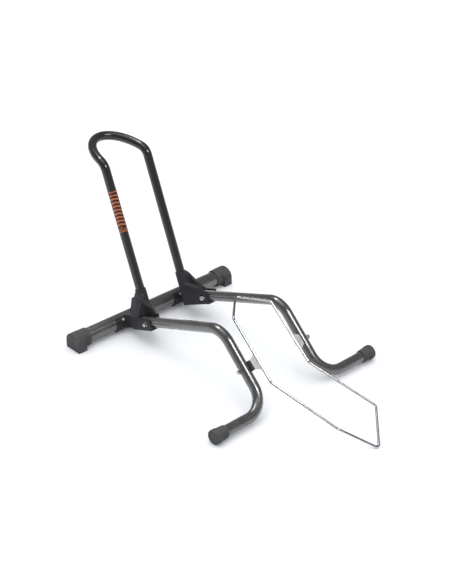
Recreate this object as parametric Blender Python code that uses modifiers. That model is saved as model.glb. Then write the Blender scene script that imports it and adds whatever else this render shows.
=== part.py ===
"""Floor stand for one bicycle wheel: a rear cross tube on rubber feet, two bent front legs, a tall
rear hoop that the wheel leans in, and a wire cradle that rocks on the legs when the wheel rolls in.

Units are metres, +Z is up, the front of the stand faces -Y, and +X is its right side. Sizes along Y
are measured from the rear tube's axis; the parts hang on one empty that sets the origin on the
floor, under the middle of the stand.
"""

import math

import bmesh
import bpy
from mathutils import Matrix, Vector

GAP = 0.0003  # between pieces that touch
CUT_OVERRUN = 0.003  # how far a cutter runs past the face that it leaves

# Rear cross tube and its rubber feet
REAR_TUBE_RADIUS = 0.01905
REAR_TUBE_WALL = 0.0015
REAR_TUBE_LENGTH = 0.4910
REAR_FOOT_WALL = 0.0026
REAR_FOOT_END_WALL = 0.0030
REAR_FOOT_LENGTH = 0.0440
REAR_FOOT_ROUNDING = 0.0030
REAR_FOOT_SHOULDER = 0.3  # of the rounding, from each face to the rounding's middle point
REAR_FOOT_LIP = 0.0008
REAR_PAD_LENGTH = 0.0250
REAR_PAD_WIDTH = 0.0504
REAR_PAD_PROUD = 0.0003  # how far the pad's sole stands below the sleeve
REAR_PAD_DROP = 0.0010  # from the sleeve's top down to the pad's rounded top

# Front legs
LEG_RADIUS = 0.0127
LEG_WALL = 0.0015
LEG_X = 0.0920
LEG_START = 0.0600  # from the rear tube's axis, along the leg
LEG_KNEE_Y = -0.3567
LEG_KNEE_Z = 0.1579
LEG_ANKLE_Y = -0.5045
LEG_END_X = 0.2495
LEG_KNEE_RADIUS = 0.055
LEG_ANKLE_RADIUS = 0.057
LEG_FOOT_RADIUS = 0.0174
LEG_FOOT_MOUTH_RADIUS = 0.0150
LEG_FOOT_LENGTH = 0.0360
LEG_FOOT_END_WALL = 0.0030
LEG_FOOT_RIBS = 4
LEG_FOOT_RIB_DEPTH = 0.0008
LEG_FOOT_CAP = 0.0110  # smooth stretch at the closed end

# Hoop: two uprights that lean back, then a crook into an arch that lies almost level
HOOP_RADIUS = 0.0111
HOOP_WALL = 0.0014
HOOP_HALF_WIDTH = 0.0643
HOOP_FOOT_Y = -0.0701
HOOP_FOOT_Z = 0.0270
HOOP_LEAN = math.radians(22.2)
HOOP_STRAIGHT = 0.3908
HOOP_CROOK_RADIUS = 0.0305
HOOP_CROOK_ANGLE = math.radians(56.4)
HOOP_ARCH_START = 0.4014  # along the upright, where the sides begin to close
HOOP_ARCH_DEPTH = 0.1030

# Moulded brackets
BOSS_WALL = 0.0022
BOSS_HEIGHT = 0.0930  # along the hoop, above its foot
BOSS_FLOOR = 0.0060
BOSS_FOOT = 0.0070  # from the uprights' lower end line up to the boss's underside
CHEEK_WALL = 0.0040
CHEEK_START = 0.0545  # from the rear tube's axis, along the leg
CHEEK_END = 0.1310
CHEEK_COLLAR = 0.0320  # stretch of the channel that closes over the leg
SLOT_STEP = 0.0008  # how far the open channel is narrower than its bore, which snaps over the leg
CHEEK_TOP = 0.0130  # height of the open channel's outer cheek above the leg's axis
SADDLE_WIDTH = 0.0700
SADDLE_WALL = 0.0025
SADDLE_TOP_ANGLE = math.radians(60)
SADDLE_BOTTOM_ANGLE = math.radians(-78)
NECK_WIDTH = 0.0160
WEB_THICKNESS = 0.0075
WEB_STEP = 0.0005  # how far the rib stands back from the channel's inner face
WEB_OVERLAP = 0.0020  # least depth of the rib inside the boss's side
WEB_FRONT_HEIGHT = 0.0290  # above the leg's axis
WEB_BACK = 0.0130  # from the rear tube's axis to the rib's lowest back corner
WEB_INSET = 0.0040  # how far the rib stays inside the boss's top and the channel's front
WEB_WAIST = 0.26  # of the rib's height, where its back edge is narrowest
WEB_SHOULDER = 0.70  # of the rib's height, where its back edge steps in to the boss
WEB_SHOULDER_DEPTH = 0.0200
WEB_SHOULDER_RISE = 0.0080
FAIRING_INSET = 0.0004  # how far a fairing stays inside the shapes that it blends
FAIRING_TOP = 0.0300  # from the boss's top down to the inner fairing
SHOULDER_TOP = 0.0100  # from the boss's top down to the outer fairing
RING_POINTS = 16  # points round the boss in a fairing
SHOULDER_FOOT = 0.0450  # along the boss, where the outer fairing leaves it
POCKET_RADIUS = 0.0080  # of the round pocket that the leg bolt's nut sits in
POCKET_BITE = 0.0001  # how far the pocket's floor is sunk in the channel's inner face
NECK_DROP = 0.75  # of the rear tube's radius, from its axis down to the neck's lowest corner

# Fasteners
BOLT_RADIUS = 0.0030
BOLT_HOLE_CLEARANCE = 0.0003
BOLT_HEAD_WIDTH = 0.0100
BOLT_HEAD_HEIGHT = 0.0040
NUT_HEIGHT = 0.0050
BOLT_TAIL = 0.0020
WASHER_RADIUS = 0.0062
WASHER_THICKNESS = 0.0012
LEG_BOLT_ALONG = 0.1145  # from the rear tube's axis, along the leg
SCREW_SPREAD = 0.0280
SCREW_ANGLE = math.radians(37)
SCREW_HEAD_RADIUS = 0.0036
SCREW_HEAD_HEIGHT = 0.0022
SCREW_DOME = ((0.55, 1.0), (0.9, 0.65), (1.0, 0.2), (1.0, 0.0))  # shares of radius and height
SCREW_SHANK_RADIUS = 0.0018
SCREW_LENGTH = 0.0060

# Wire cradle and its pivots
WIRE_RADIUS = 0.0030
CRADLE_TOP = (-0.3036, 0.1822)
CRADLE_SHOULDER = (0.0580, -0.3592, 0.1716)
CRADLE_ELBOW = (0.0600, -0.4851, 0.0625)
CRADLE_HIP = (0.0620, -0.6881, 0.0467)
CRADLE_TIP_Y = -0.7560
CRADLE_TIP_BEND = 0.008
CRADLE_BEND = 0.012
PIVOT_Y = -0.4325
LUG_THICKNESS = 0.0025
LUG_LENGTH = 0.0400  # of the edge that is welded to the wire
LUG_ROUND = 0.0122  # radius of the ear about the pivot
LUG_CLEARANCE = 0.0020  # from the ear to the leg
SPACER_TOP = 0.0140  # above the pivot
SPACER_LIP = 0.0052  # how far the spacer's lips reach round the leg

REAR_TUBE_Z = REAR_TUBE_RADIUS + GAP + REAR_FOOT_WALL + REAR_PAD_PROUD
LEG_FLOOR_Z = LEG_FOOT_RADIUS
LEG_SLOPE = math.atan2(LEG_KNEE_Z - REAR_TUBE_Z, -LEG_KNEE_Y)
BOLT_HOLE_RADIUS = BOLT_RADIUS + BOLT_HOLE_CLEARANCE
CHEEK_HALF = LEG_RADIUS + GAP + CHEEK_WALL
SIDES = {"left": -1, "right": 1}


# ---------------------------------------------------------------- scene and helpers


def clear_scene():
    for obj in list(bpy.data.objects):
        bpy.data.objects.remove(obj, do_unlink=True)


def new_collection(name):
    collection = bpy.data.collections.new(name)
    bpy.context.scene.collection.children.link(collection)
    return collection


def new_material(name, colour, roughness, metallic):
    material = bpy.data.materials.new(name)
    material.use_nodes = True
    shader = material.node_tree.nodes["Principled BSDF"]
    shader.inputs["Base Color"].default_value = (*colour, 1.0)
    shader.inputs["Roughness"].default_value = roughness
    shader.inputs["Metallic"].default_value = metallic
    return material


def mesh_object(name, mesh):
    obj = bpy.data.objects.new(name, mesh)
    workshop.objects.link(obj)
    return obj


def evaluated_mesh(obj):
    bpy.context.view_layer.update()
    graph = bpy.context.evaluated_depsgraph_get()
    mesh = bpy.data.meshes.new_from_object(obj.evaluated_get(graph))
    mesh.transform(obj.matrix_world)
    return mesh


def baked(obj):
    """A plain mesh object of what obj looks like now, in world space; obj is removed."""
    name = obj.name
    mesh = evaluated_mesh(obj)
    weld(mesh)
    bpy.data.objects.remove(obj, do_unlink=True)
    return mesh_object(name, mesh)


def weld(mesh):
    work = bmesh.new()
    work.from_mesh(mesh)
    bmesh.ops.remove_doubles(work, verts=work.verts, dist=1e-6)
    work.to_mesh(mesh)
    work.free()


def boolean(target, cutter, operation, solver="EXACT"):
    """Unite with the cutter or cut it away, and remove it."""
    modifier = target.modifiers.new(operation.title(), "BOOLEAN")
    modifier.operation = operation
    modifier.solver = solver
    modifier.object = cutter
    result = baked(target)
    bpy.data.objects.remove(cutter, do_unlink=True)
    return result


def cut(target, cutter):
    return boolean(target, cutter, "DIFFERENCE")


def unite(target, other):
    return boolean(target, other, "UNION")


def fuse(target, other):
    """A union of closed bodies with many nearly touching faces."""
    return boolean(target, other, "UNION", "MANIFOLD")


def mirrored(obj, name):
    """The same shape on the other side of the stand."""
    mesh = evaluated_mesh(obj)
    mesh.transform(Matrix.Scale(-1, 4, (1, 0, 0)))
    mesh.flip_normals()
    return mesh_object(name, mesh)


def rod(name, start, end, radius, segments=24):
    """A cylinder between two points."""
    start = Vector(start)
    axis = Vector(end) - start
    shape = bmesh.new()
    bmesh.ops.create_cone(
        shape,
        cap_ends=True,
        segments=segments,
        radius1=radius,
        radius2=radius,
        depth=axis.length,
    )
    turn = axis.to_track_quat("Z", "Y").to_matrix().to_4x4()
    shape.transform(Matrix.Translation(start + axis / 2) @ turn)
    mesh = bpy.data.meshes.new(name)
    shape.to_mesh(mesh)
    shape.free()
    return mesh_object(name, mesh)


def block(name, low, high, slope=0.0, pivot=(0.0, 0.0, 0.0)):
    """A box between two corners, tipped up at the front about an X line through the pivot."""
    low = Vector(low)
    high = Vector(high)
    shape = bmesh.new()
    bmesh.ops.create_cube(shape, size=1.0)
    size = high - low
    shape.transform(Matrix.Translation((low + high) / 2) @ Matrix.Diagonal((*size, 1.0)))
    pivot = Vector(pivot)
    tip = Matrix.Translation(pivot) @ Matrix.Rotation(-slope, 4, "X") @ Matrix.Translation(-pivot)
    shape.transform(tip)
    mesh = bpy.data.meshes.new(name)
    shape.to_mesh(mesh)
    shape.free()
    return mesh_object(name, mesh)


def slab(name, outline, thickness, place):
    """A flat outline of points in its own XY plane, with half its thickness to each side."""
    curve = bpy.data.curves.new(name, "CURVE")
    curve.dimensions = "2D"
    curve.fill_mode = "BOTH"
    curve.extrude = thickness / 2
    spline = curve.splines.new("POLY")
    spline.points.add(len(outline) - 1)
    for point, (across, up) in zip(spline.points, outline):
        point.co = (across, up, 0.0, 1.0)
    spline.use_cyclic_u = True
    obj = bpy.data.objects.new(name, curve)
    workshop.objects.link(obj)
    obj.matrix_world = place
    return baked(obj)


def plate(name, outline, x_low, x_high):
    """A flat outline of (y, z) points with a thickness along X."""
    stand_up = Matrix(((0, 0, 1, 0), (1, 0, 0, 0), (0, 1, 0, 0), (0, 0, 0, 1)))
    place = Matrix.Translation(((x_low + x_high) / 2, 0, 0)) @ stand_up
    return slab(name, outline, x_high - x_low, place)


def hull(name, points):
    """The convex body round a set of points."""
    shape = bmesh.new()
    for point in points:
        shape.verts.new(point)
    made = bmesh.ops.convex_hull(shape, input=shape.verts)
    spare = {item for item in made["geom_interior"] if isinstance(item, bmesh.types.BMVert)}
    bmesh.ops.delete(shape, geom=list(spare), context="VERTS")
    bmesh.ops.recalc_face_normals(shape, faces=shape.faces)
    mesh = bpy.data.meshes.new(name)
    shape.to_mesh(mesh)
    shape.free()
    return mesh_object(name, mesh)


def turned(name, profile, start, axis, steps=32):
    """A profile of (radius, distance along the axis), turned about the axis that leaves start."""
    mesh = bpy.data.meshes.new(name)
    edges = [(i, i + 1) for i in range(len(profile) - 1)]
    mesh.from_pydata([(radius, 0.0, along) for radius, along in profile], edges, [])
    obj = mesh_object(name, mesh)
    screw = obj.modifiers.new("Turn", "SCREW")
    screw.axis = "Z"
    screw.steps = steps
    screw.render_steps = steps
    screw.use_merge_vertices = True
    screw.merge_threshold = 1e-5
    turn = Vector(axis).to_track_quat("Z", "Y").to_matrix().to_4x4()
    obj.matrix_world = Matrix.Translation(start) @ turn
    return baked(obj)


def rounded_path(corners, radii, closed=False, step=math.radians(12)):
    """The corners as a polyline, with an arc of its own radius at each corner but loose ends."""
    count = len(corners)
    points = []
    for i, (corner, radius) in enumerate(zip(corners, radii)):
        corner = Vector(corner)
        if radius == 0.0 or (not closed and i in (0, count - 1)):
            points.append(corner)
            continue
        before = (Vector(corners[i - 1]) - corner).normalized()
        after = (Vector(corners[(i + 1) % count]) - corner).normalized()
        half = before.angle(after) / 2
        middle = corner + (before + after).normalized() * (radius / math.sin(half))
        first = corner + before * (radius / math.tan(half)) - middle
        axis = first.cross(corner + after * (radius / math.tan(half)) - middle)
        sweep = math.pi - 2 * half
        arcs = max(2, round(sweep / step))
        for k in range(arcs + 1):
            points.append(middle + Matrix.Rotation(sweep * k / arcs, 3, axis) @ first)
    return points


def bent_tube(name, points, radius, bevel_resolution, closed=False, capped=True):
    """A round bar along a polyline, as a mesh."""
    curve = bpy.data.curves.new(name, "CURVE")
    curve.dimensions = "3D"
    curve.bevel_depth = radius
    curve.bevel_resolution = bevel_resolution
    curve.use_fill_caps = capped
    spline = curve.splines.new("POLY")
    spline.points.add(len(points) - 1)
    for point, place in zip(spline.points, points):
        point.co = (*place, 1.0)
    spline.use_cyclic_u = closed
    obj = bpy.data.objects.new(name, curve)
    workshop.objects.link(obj)
    return baked(obj)


def hollow(obj, wall):
    """Make an open tube skin into a tube wall, inwards from its outer face."""
    shell = obj.modifiers.new("Wall", "SOLIDIFY")
    shell.thickness = wall
    shell.offset = -1.0
    return baked(obj)


def finish_piece(obj, material, pivot=None):
    """Move a finished piece to the stand, in its material, with its origin on its own pivot."""
    workshop.objects.unlink(obj)
    stand.objects.link(obj)
    obj.data.materials.clear()
    obj.data.materials.append(material)
    obj.data.shade_smooth()
    obj.data.set_sharp_from_angle(angle=math.radians(35))
    if pivot is not None:
        obj.data.transform(Matrix.Translation(-Vector(pivot)))
        obj.location = pivot
    return obj


# ---------------------------------------------------------------- places worked out from the sizes


def along_leg(distance, above=0.0):
    """(y, z) of a point at a distance from the rear tube's axis along the leg's rear stretch."""
    y = -distance * math.cos(LEG_SLOPE) + above * math.sin(LEG_SLOPE)
    z = REAR_TUBE_Z + distance * math.sin(LEG_SLOPE) + above * math.cos(LEG_SLOPE)
    return y, z


def shin_height(y):
    """Height of the leg's axis on its steep front stretch."""
    share = (y - LEG_KNEE_Y) / (LEG_ANKLE_Y - LEG_KNEE_Y)
    return LEG_KNEE_Z + share * (LEG_FLOOR_Z - LEG_KNEE_Z)


def shin_point(x, along):
    """A point beside the leg's steep front stretch, at a distance down from the pivot."""
    down = Vector((0.0, LEG_ANKLE_Y - LEG_KNEE_Y, LEG_FLOOR_Z - LEG_KNEE_Z)).normalized()
    return Vector((x, PIVOT_Y, pivot_z())) + down * along


def hoop_point(x, along):
    """A point of the hoop's axis: the flat hoop is rolled back through the crook's angle."""
    bend = min(max(along - HOOP_STRAIGHT, 0.0) / HOOP_CROOK_RADIUS, HOOP_CROOK_ANGLE)
    straight = min(along, HOOP_STRAIGHT)
    rest = max(along - HOOP_STRAIGHT - HOOP_CROOK_RADIUS * HOOP_CROOK_ANGLE, 0.0)
    tilt = HOOP_LEAN + bend
    y = straight * math.sin(HOOP_LEAN) + rest * math.sin(tilt)
    y += HOOP_CROOK_RADIUS * (math.cos(HOOP_LEAN) - math.cos(tilt))
    z = straight * math.cos(HOOP_LEAN) + rest * math.cos(tilt)
    z += HOOP_CROOK_RADIUS * (math.sin(tilt) - math.sin(HOOP_LEAN))
    return Vector((x, HOOP_FOOT_Y + y, HOOP_FOOT_Z + z))


def pivot_z():
    return shin_height(PIVOT_Y)


def hex_outline(width):
    radius = width / 2 / math.cos(math.pi / 6)
    turns = [math.pi / 6 + i * math.pi / 3 for i in range(6)]
    return [(radius * math.cos(turn), radius * math.sin(turn)) for turn in turns]


def cradle_tip_drop():
    """How far the bend at the front tip lies above the corner that it rounds."""
    hip = Vector(CRADLE_HIP)
    corner = Vector((0.0, CRADLE_TIP_Y, WIRE_RADIUS))
    side = (hip - corner).normalized()
    back = CRADLE_TIP_BEND * (1 / abs(side.x) - 1)
    return back * side.z / math.hypot(side.y, side.z)


# ---------------------------------------------------------------- tubes


def make_rear_tube():
    half = REAR_TUBE_LENGTH / 2
    tube = turned(
        "rear_tube",
        [
            (REAR_TUBE_RADIUS, 2 * half),
            (REAR_TUBE_RADIUS, 0.0),
            (REAR_TUBE_RADIUS - REAR_TUBE_WALL, 0.0),
            (REAR_TUBE_RADIUS - REAR_TUBE_WALL, 2 * half),
            (REAR_TUBE_RADIUS, 2 * half),
        ],
        (-half, 0.0, REAR_TUBE_Z),
        (1, 0, 0),
        28,
    )
    for side in SIDES.values():
        for x in screw_places():
            tube = cut(tube, screw_hole(side * x))
    return finish_piece(tube, graphite)


def leg_path():
    start_y, start_z = along_leg(LEG_START)
    corners = [
        (LEG_X, start_y, start_z),
        (LEG_X, LEG_KNEE_Y, LEG_KNEE_Z),
        (LEG_X, LEG_ANKLE_Y, LEG_FLOOR_Z),
        (LEG_END_X, LEG_ANKLE_Y, LEG_FLOOR_Z),
    ]
    return rounded_path(corners, [0.0, LEG_KNEE_RADIUS, LEG_ANKLE_RADIUS, 0.0])


def make_legs():
    leg = bent_tube("leg_right", leg_path(), LEG_RADIUS, 6, capped=False)
    leg = hollow(leg, LEG_WALL)
    y, z = along_leg(LEG_BOLT_ALONG)
    leg = cut(leg, cross_hole(y, z, LEG_X - 2 * LEG_RADIUS, LEG_X + 2 * LEG_RADIUS))
    leg = cut(leg, cross_hole(PIVOT_Y, pivot_z(), LEG_X - 2 * LEG_RADIUS, LEG_X + 2 * LEG_RADIUS))
    finish_piece(mirrored(leg, "leg_left"), graphite)
    finish_piece(leg, graphite)


def cross_hole(y, z, x_low, x_high):
    return rod("cross_hole", (x_low, y, z), (x_high, y, z), BOLT_HOLE_RADIUS, 16)


def make_hoop():
    crook_steps = 4
    arch_steps = 12
    crook = HOOP_CROOK_RADIUS * HOOP_CROOK_ANGLE
    foot = BOSS_FOOT + BOSS_FLOOR + GAP
    alongs = [foot] + [HOOP_STRAIGHT + crook * k / crook_steps for k in range(crook_steps)]
    half = [(HOOP_HALF_WIDTH, along) for along in alongs if along < HOOP_ARCH_START]
    for k in range(arch_steps + 1):
        turn = math.pi / 2 * k / arch_steps
        x = HOOP_HALF_WIDTH * math.cos(turn)
        half.append((x, HOOP_ARCH_START + HOOP_ARCH_DEPTH * math.sin(turn)))
    points = [hoop_point(x, along) for x, along in half]
    points += [hoop_point(-x, along) for x, along in reversed(half[:-1])]
    hoop = bent_tube("hoop", points, HOOP_RADIUS, 4, capped=False)
    finish_piece(hollow(hoop, HOOP_WALL), hoop_black)


# ---------------------------------------------------------------- rubber feet


def rear_pad_outline():
    """Flat bottom, straight sides and a top that rounds over just below the tube's sleeve."""
    half = REAR_PAD_WIDTH / 2
    rise = REAR_TUBE_RADIUS + GAP + REAR_FOOT_WALL - REAR_PAD_DROP
    steps = 12
    outline = [(-half, 0.0), (half, 0.0)]
    for k in range(steps + 1):
        turn = math.pi * k / steps
        outline.append((half * math.cos(turn), REAR_TUBE_Z + rise * math.sin(turn)))
    return outline


def make_rear_feet():
    end = REAR_TUBE_LENGTH / 2 + GAP + REAR_FOOT_END_WALL
    start = end - REAR_FOOT_LENGTH
    radius = REAR_TUBE_RADIUS + GAP + REAR_FOOT_WALL
    chamfer = REAR_FOOT_ROUNDING
    shoulder = chamfer * REAR_FOOT_SHOULDER
    sleeve = turned(
        "rear_foot_right",
        [
            (0.0, REAR_FOOT_LENGTH),
            (radius - chamfer, REAR_FOOT_LENGTH),
            (radius - shoulder, REAR_FOOT_LENGTH - shoulder),
            (radius, REAR_FOOT_LENGTH - chamfer),
            (radius, REAR_FOOT_LIP),
            (radius - REAR_FOOT_LIP, 0.0),
            (0.0, 0.0),
        ],
        (start, 0.0, REAR_TUBE_Z),
        (1, 0, 0),
        28,
    )
    pad = plate("pad", rear_pad_outline(), end - REAR_PAD_LENGTH, end - GAP)
    foot = unite(sleeve, pad)
    bore_end = (REAR_TUBE_LENGTH / 2 + GAP, 0.0, REAR_TUBE_Z)
    bore = rod("bore", (start - CUT_OVERRUN, 0.0, REAR_TUBE_Z), bore_end, REAR_TUBE_RADIUS + GAP, 28)
    foot = cut(foot, bore)
    finish_piece(mirrored(foot, "rear_foot_left"), rubber)
    finish_piece(foot, rubber)


def make_leg_feet():
    inner = LEG_RADIUS + GAP
    mouth = LEG_FOOT_MOUTH_RADIUS
    outer = LEG_FOOT_RADIUS
    length = LEG_FOOT_LENGTH
    depth = LEG_FOOT_RIB_DEPTH
    profile = [
        (0.0, length),
        (outer - 3 * depth, length),
        (outer - depth, length - depth),
        (outer, length - 3 * depth),
        (outer, length - LEG_FOOT_CAP),
    ]
    pitch = (length - LEG_FOOT_CAP - 2 * depth) / LEG_FOOT_RIBS
    for k in range(LEG_FOOT_RIBS):
        along = length - LEG_FOOT_CAP - k * pitch
        radius = mouth + (outer - mouth) * along / length
        profile += [
            (radius - depth, along - depth),
            (radius - depth, along - 2 * depth),
            (radius, along - 3 * depth),
            (radius - (outer - mouth) * pitch / length, along - pitch),
        ]
    profile += [
        (mouth - depth, 0.0),
        (inner, 0.0),
        (inner, length - LEG_FOOT_END_WALL),
        (0.0, length - LEG_FOOT_END_WALL),
    ]
    start = (LEG_END_X + GAP + LEG_FOOT_END_WALL - length, LEG_ANKLE_Y, LEG_FLOOR_Z)
    foot = turned("leg_foot_right", profile, start, (1, 0, 0), 24)
    finish_piece(mirrored(foot, "leg_foot_left"), rubber)
    finish_piece(foot, rubber)


# ---------------------------------------------------------------- moulded brackets


def saddle_outline():
    outer = REAR_TUBE_RADIUS + GAP + SADDLE_WALL
    inner = REAR_TUBE_RADIUS + GAP / 2
    steps = 10
    angles = [
        SADDLE_BOTTOM_ANGLE + (SADDLE_TOP_ANGLE - SADDLE_BOTTOM_ANGLE) * k / steps
        for k in range(steps + 1)
    ]
    outline = [(-outer * math.cos(a), REAR_TUBE_Z + outer * math.sin(a)) for a in angles]
    outline += [(-inner * math.cos(a), REAR_TUBE_Z + inner * math.sin(a)) for a in reversed(angles)]
    return outline


def web_outline():
    """The upright rib between boss and leg, from the saddle up to the boss and down to the front."""
    top = hoop_point(0, BOSS_HEIGHT - WEB_INSET)
    low_y, low_z = along_leg(CHEEK_START + 2 * WEB_INSET)
    saddle_top = REAR_TUBE_Z + REAR_TUBE_RADIUS
    waist_z = saddle_top + WEB_WAIST * (top.z - saddle_top)
    shoulder_z = saddle_top + WEB_SHOULDER * (top.z - saddle_top)
    return [
        (-WEB_BACK, saddle_top - WEB_INSET / 2),
        (-WEB_BACK - WEB_INSET, waist_z),
        (-WEB_BACK - WEB_SHOULDER_DEPTH / 2, shoulder_z),
        (-WEB_BACK - WEB_SHOULDER_DEPTH, shoulder_z + WEB_SHOULDER_RISE),
        (top.y, top.z),
        (top.y - NECK_WIDTH / 2, top.z),
        along_leg(CHEEK_END - 4 * WEB_INSET, WEB_FRONT_HEIGHT),
        along_leg(CHEEK_END - WEB_INSET, WEB_FRONT_HEIGHT / 3),
        along_leg(CHEEK_END - WEB_INSET),
        (low_y, low_z),
        (low_y + NECK_WIDTH, low_z),
    ]


def neck_outline():
    """The block between the saddle and the channel's back."""
    reach = CHEEK_START + CHEEK_WALL
    return [
        (-NECK_WIDTH / 2, REAR_TUBE_Z + REAR_TUBE_RADIUS),
        along_leg(reach, CHEEK_HALF),
        along_leg(reach, -CHEEK_HALF),
        (-NECK_WIDTH, REAR_TUBE_Z - NECK_DROP * REAR_TUBE_RADIUS),
    ]


def boss_ring(along):
    """Points round the boss, just inside its surface."""
    radius = HOOP_RADIUS + GAP + BOSS_WALL - FAIRING_INSET
    centre = hoop_point(HOOP_HALF_WIDTH, along)
    square = Vector((0.0, math.cos(HOOP_LEAN), -math.sin(HOOP_LEAN)))
    across = Vector((1, 0, 0))
    turns = [2 * math.pi * k / RING_POINTS for k in range(RING_POINTS)]
    return [centre + (across * math.cos(t) + square * math.sin(t)) * radius for t in turns]


def inner_fairing(x_low, x_high):
    """Blends the boss into the inner cheek's front end."""
    end = CHEEK_END - WEB_INSET
    front = [
        along_leg(end, FAIRING_INSET - CHEEK_HALF),
        along_leg(end, WEB_FRONT_HEIGHT / 3),
        along_leg(end - 3 * WEB_INSET, WEB_FRONT_HEIGHT - WEB_INSET),
    ]
    points = [(x, y, z) for x in (x_low, x_high) for y, z in front]
    points += boss_ring(BOSS_FOOT + FAIRING_INSET) + boss_ring(BOSS_HEIGHT - FAIRING_TOP)
    return hull("inner_fairing", points)


def outer_fairing():
    """Blends the boss's upper part into the collar that closes over the leg."""
    half = CHEEK_HALF - FAIRING_INSET
    start = CHEEK_START + FAIRING_INSET
    end = CHEEK_START + CHEEK_COLLAR - FAIRING_INSET
    sides = (LEG_X - half, LEG_X + half)
    points = [(x, *along_leg(along, half)) for x in sides for along in (start, end)]
    points += boss_ring(SHOULDER_FOOT) + boss_ring(BOSS_HEIGHT - SHOULDER_TOP)
    return hull("outer_fairing", points)


def make_brackets():
    boss_radius = HOOP_RADIUS + GAP + BOSS_WALL
    hoop_x = HOOP_HALF_WIDTH
    bracket = rod(
        "bracket_right",
        hoop_point(hoop_x, BOSS_FOOT),
        hoop_point(hoop_x, BOSS_HEIGHT),
        boss_radius,
        32,
    )
    pivot = (LEG_X, 0.0, REAR_TUBE_Z)
    channel = block(
        "channel",
        (LEG_X - CHEEK_HALF, -CHEEK_END, REAR_TUBE_Z - CHEEK_HALF),
        (LEG_X + CHEEK_HALF, -CHEEK_START, REAR_TUBE_Z + CHEEK_HALF),
        LEG_SLOPE,
        pivot,
    )
    bracket = fuse(bracket, channel)
    web_x = LEG_X - CHEEK_HALF + WEB_STEP
    web_low = min(web_x, hoop_x + boss_radius - WEB_OVERLAP)
    web_high = web_x + WEB_THICKNESS
    bracket = fuse(bracket, plate("web", web_outline(), web_low, web_high))
    bracket = fuse(bracket, inner_fairing(web_low + FAIRING_INSET, web_high - FAIRING_INSET))
    bracket = fuse(bracket, outer_fairing())
    half = NECK_WIDTH / 2
    bracket = fuse(bracket, plate("neck", neck_outline(), LEG_X - half, LEG_X + half))
    half = SADDLE_WIDTH / 2
    bracket = fuse(bracket, plate("saddle", saddle_outline(), LEG_X - half, LEG_X + half))
    for cutter in bracket_cutters():
        bracket = cut(bracket, cutter)
    finish_piece(mirrored(bracket, "bracket_left"), nylon)
    finish_piece(bracket, nylon)


def bracket_cutters():
    half = SADDLE_WIDTH / 2 + CUT_OVERRUN
    yield rod(
        "tube_bore",
        (LEG_X - half, 0.0, REAR_TUBE_Z),
        (LEG_X + half, 0.0, REAR_TUBE_Z),
        REAR_TUBE_RADIUS + GAP,
        48,
    )
    hoop_x = HOOP_HALF_WIDTH
    yield rod(
        "hoop_bore",
        hoop_point(hoop_x, BOSS_FOOT + BOSS_FLOOR),
        hoop_point(hoop_x, BOSS_HEIGHT + CUT_OVERRUN),
        HOOP_RADIUS + GAP,
        32,
    )
    bore = LEG_RADIUS + GAP
    slot = bore - SLOT_STEP
    start = (LEG_X, *along_leg(LEG_START - GAP))
    end = (LEG_X, *along_leg(CHEEK_END + CUT_OVERRUN))
    yield rod("leg_bore", start, end, bore, 32)
    pivot = (LEG_X, 0.0, REAR_TUBE_Z)
    front = -CHEEK_END - CUT_OVERRUN
    back = -CHEEK_START - CHEEK_COLLAR
    yield block(
        "channel_slot",
        (LEG_X - slot, front, REAR_TUBE_Z),
        (LEG_X + slot, back, REAR_TUBE_Z + 2 * CHEEK_HALF),
        LEG_SLOPE,
        pivot,
    )
    yield block(
        "cheek_top",
        (LEG_X, front - CUT_OVERRUN, REAR_TUBE_Z + CHEEK_TOP),
        (LEG_X + CHEEK_HALF + CUT_OVERRUN, back - CUT_OVERRUN, REAR_TUBE_Z + 3 * CHEEK_HALF),
        LEG_SLOPE,
        pivot,
    )
    y, z = along_leg(LEG_BOLT_ALONG)
    reach = CHEEK_HALF + CUT_OVERRUN
    yield cross_hole(y, z, LEG_X - reach, LEG_X + reach)
    floor = LEG_X - CHEEK_HALF + POCKET_BITE
    mouth = HOOP_HALF_WIDTH - HOOP_RADIUS - 2 * CHEEK_HALF
    yield rod("nut_pocket", (mouth, y, z), (floor, y, z), POCKET_RADIUS, 24)
    for x in screw_places():
        yield screw_hole(x)


# ---------------------------------------------------------------- fasteners


def screw_places():
    return LEG_X - SCREW_SPREAD / 2, LEG_X + SCREW_SPREAD / 2


def screw_axis():
    return Vector((0.0, -math.cos(SCREW_ANGLE), math.sin(SCREW_ANGLE)))


def screw_hole(x):
    seat = REAR_TUBE_RADIUS - REAR_TUBE_WALL
    centre = Vector((x, 0.0, REAR_TUBE_Z))
    start = centre + screw_axis() * (seat - CUT_OVERRUN)
    end = centre + screw_axis() * (REAR_TUBE_RADIUS + SADDLE_WALL + CUT_OVERRUN)
    return rod("screw_hole", start, end, SCREW_SHANK_RADIUS + GAP, 12)


def make_saddle_screws():
    seat = REAR_TUBE_RADIUS + GAP + SADDLE_WALL + GAP
    profile = [(0.0, SCREW_LENGTH + SCREW_HEAD_HEIGHT)]
    for share_out, share_up in SCREW_DOME:
        profile.append((SCREW_HEAD_RADIUS * share_out, SCREW_LENGTH + SCREW_HEAD_HEIGHT * share_up))
    profile += [
        (SCREW_SHANK_RADIUS, SCREW_LENGTH),
        (SCREW_SHANK_RADIUS, 0.0),
        (0.0, 0.0),
    ]
    for side_name, side in SIDES.items():
        for place, x in zip(("inner", "outer"), screw_places()):
            start = Vector((side * x, 0.0, REAR_TUBE_Z)) + screw_axis() * (seat - SCREW_LENGTH)
            name = f"saddle_screw_{place}_{side_name}"
            finish_piece(turned(name, profile, start, screw_axis(), 12), zinc)


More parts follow.
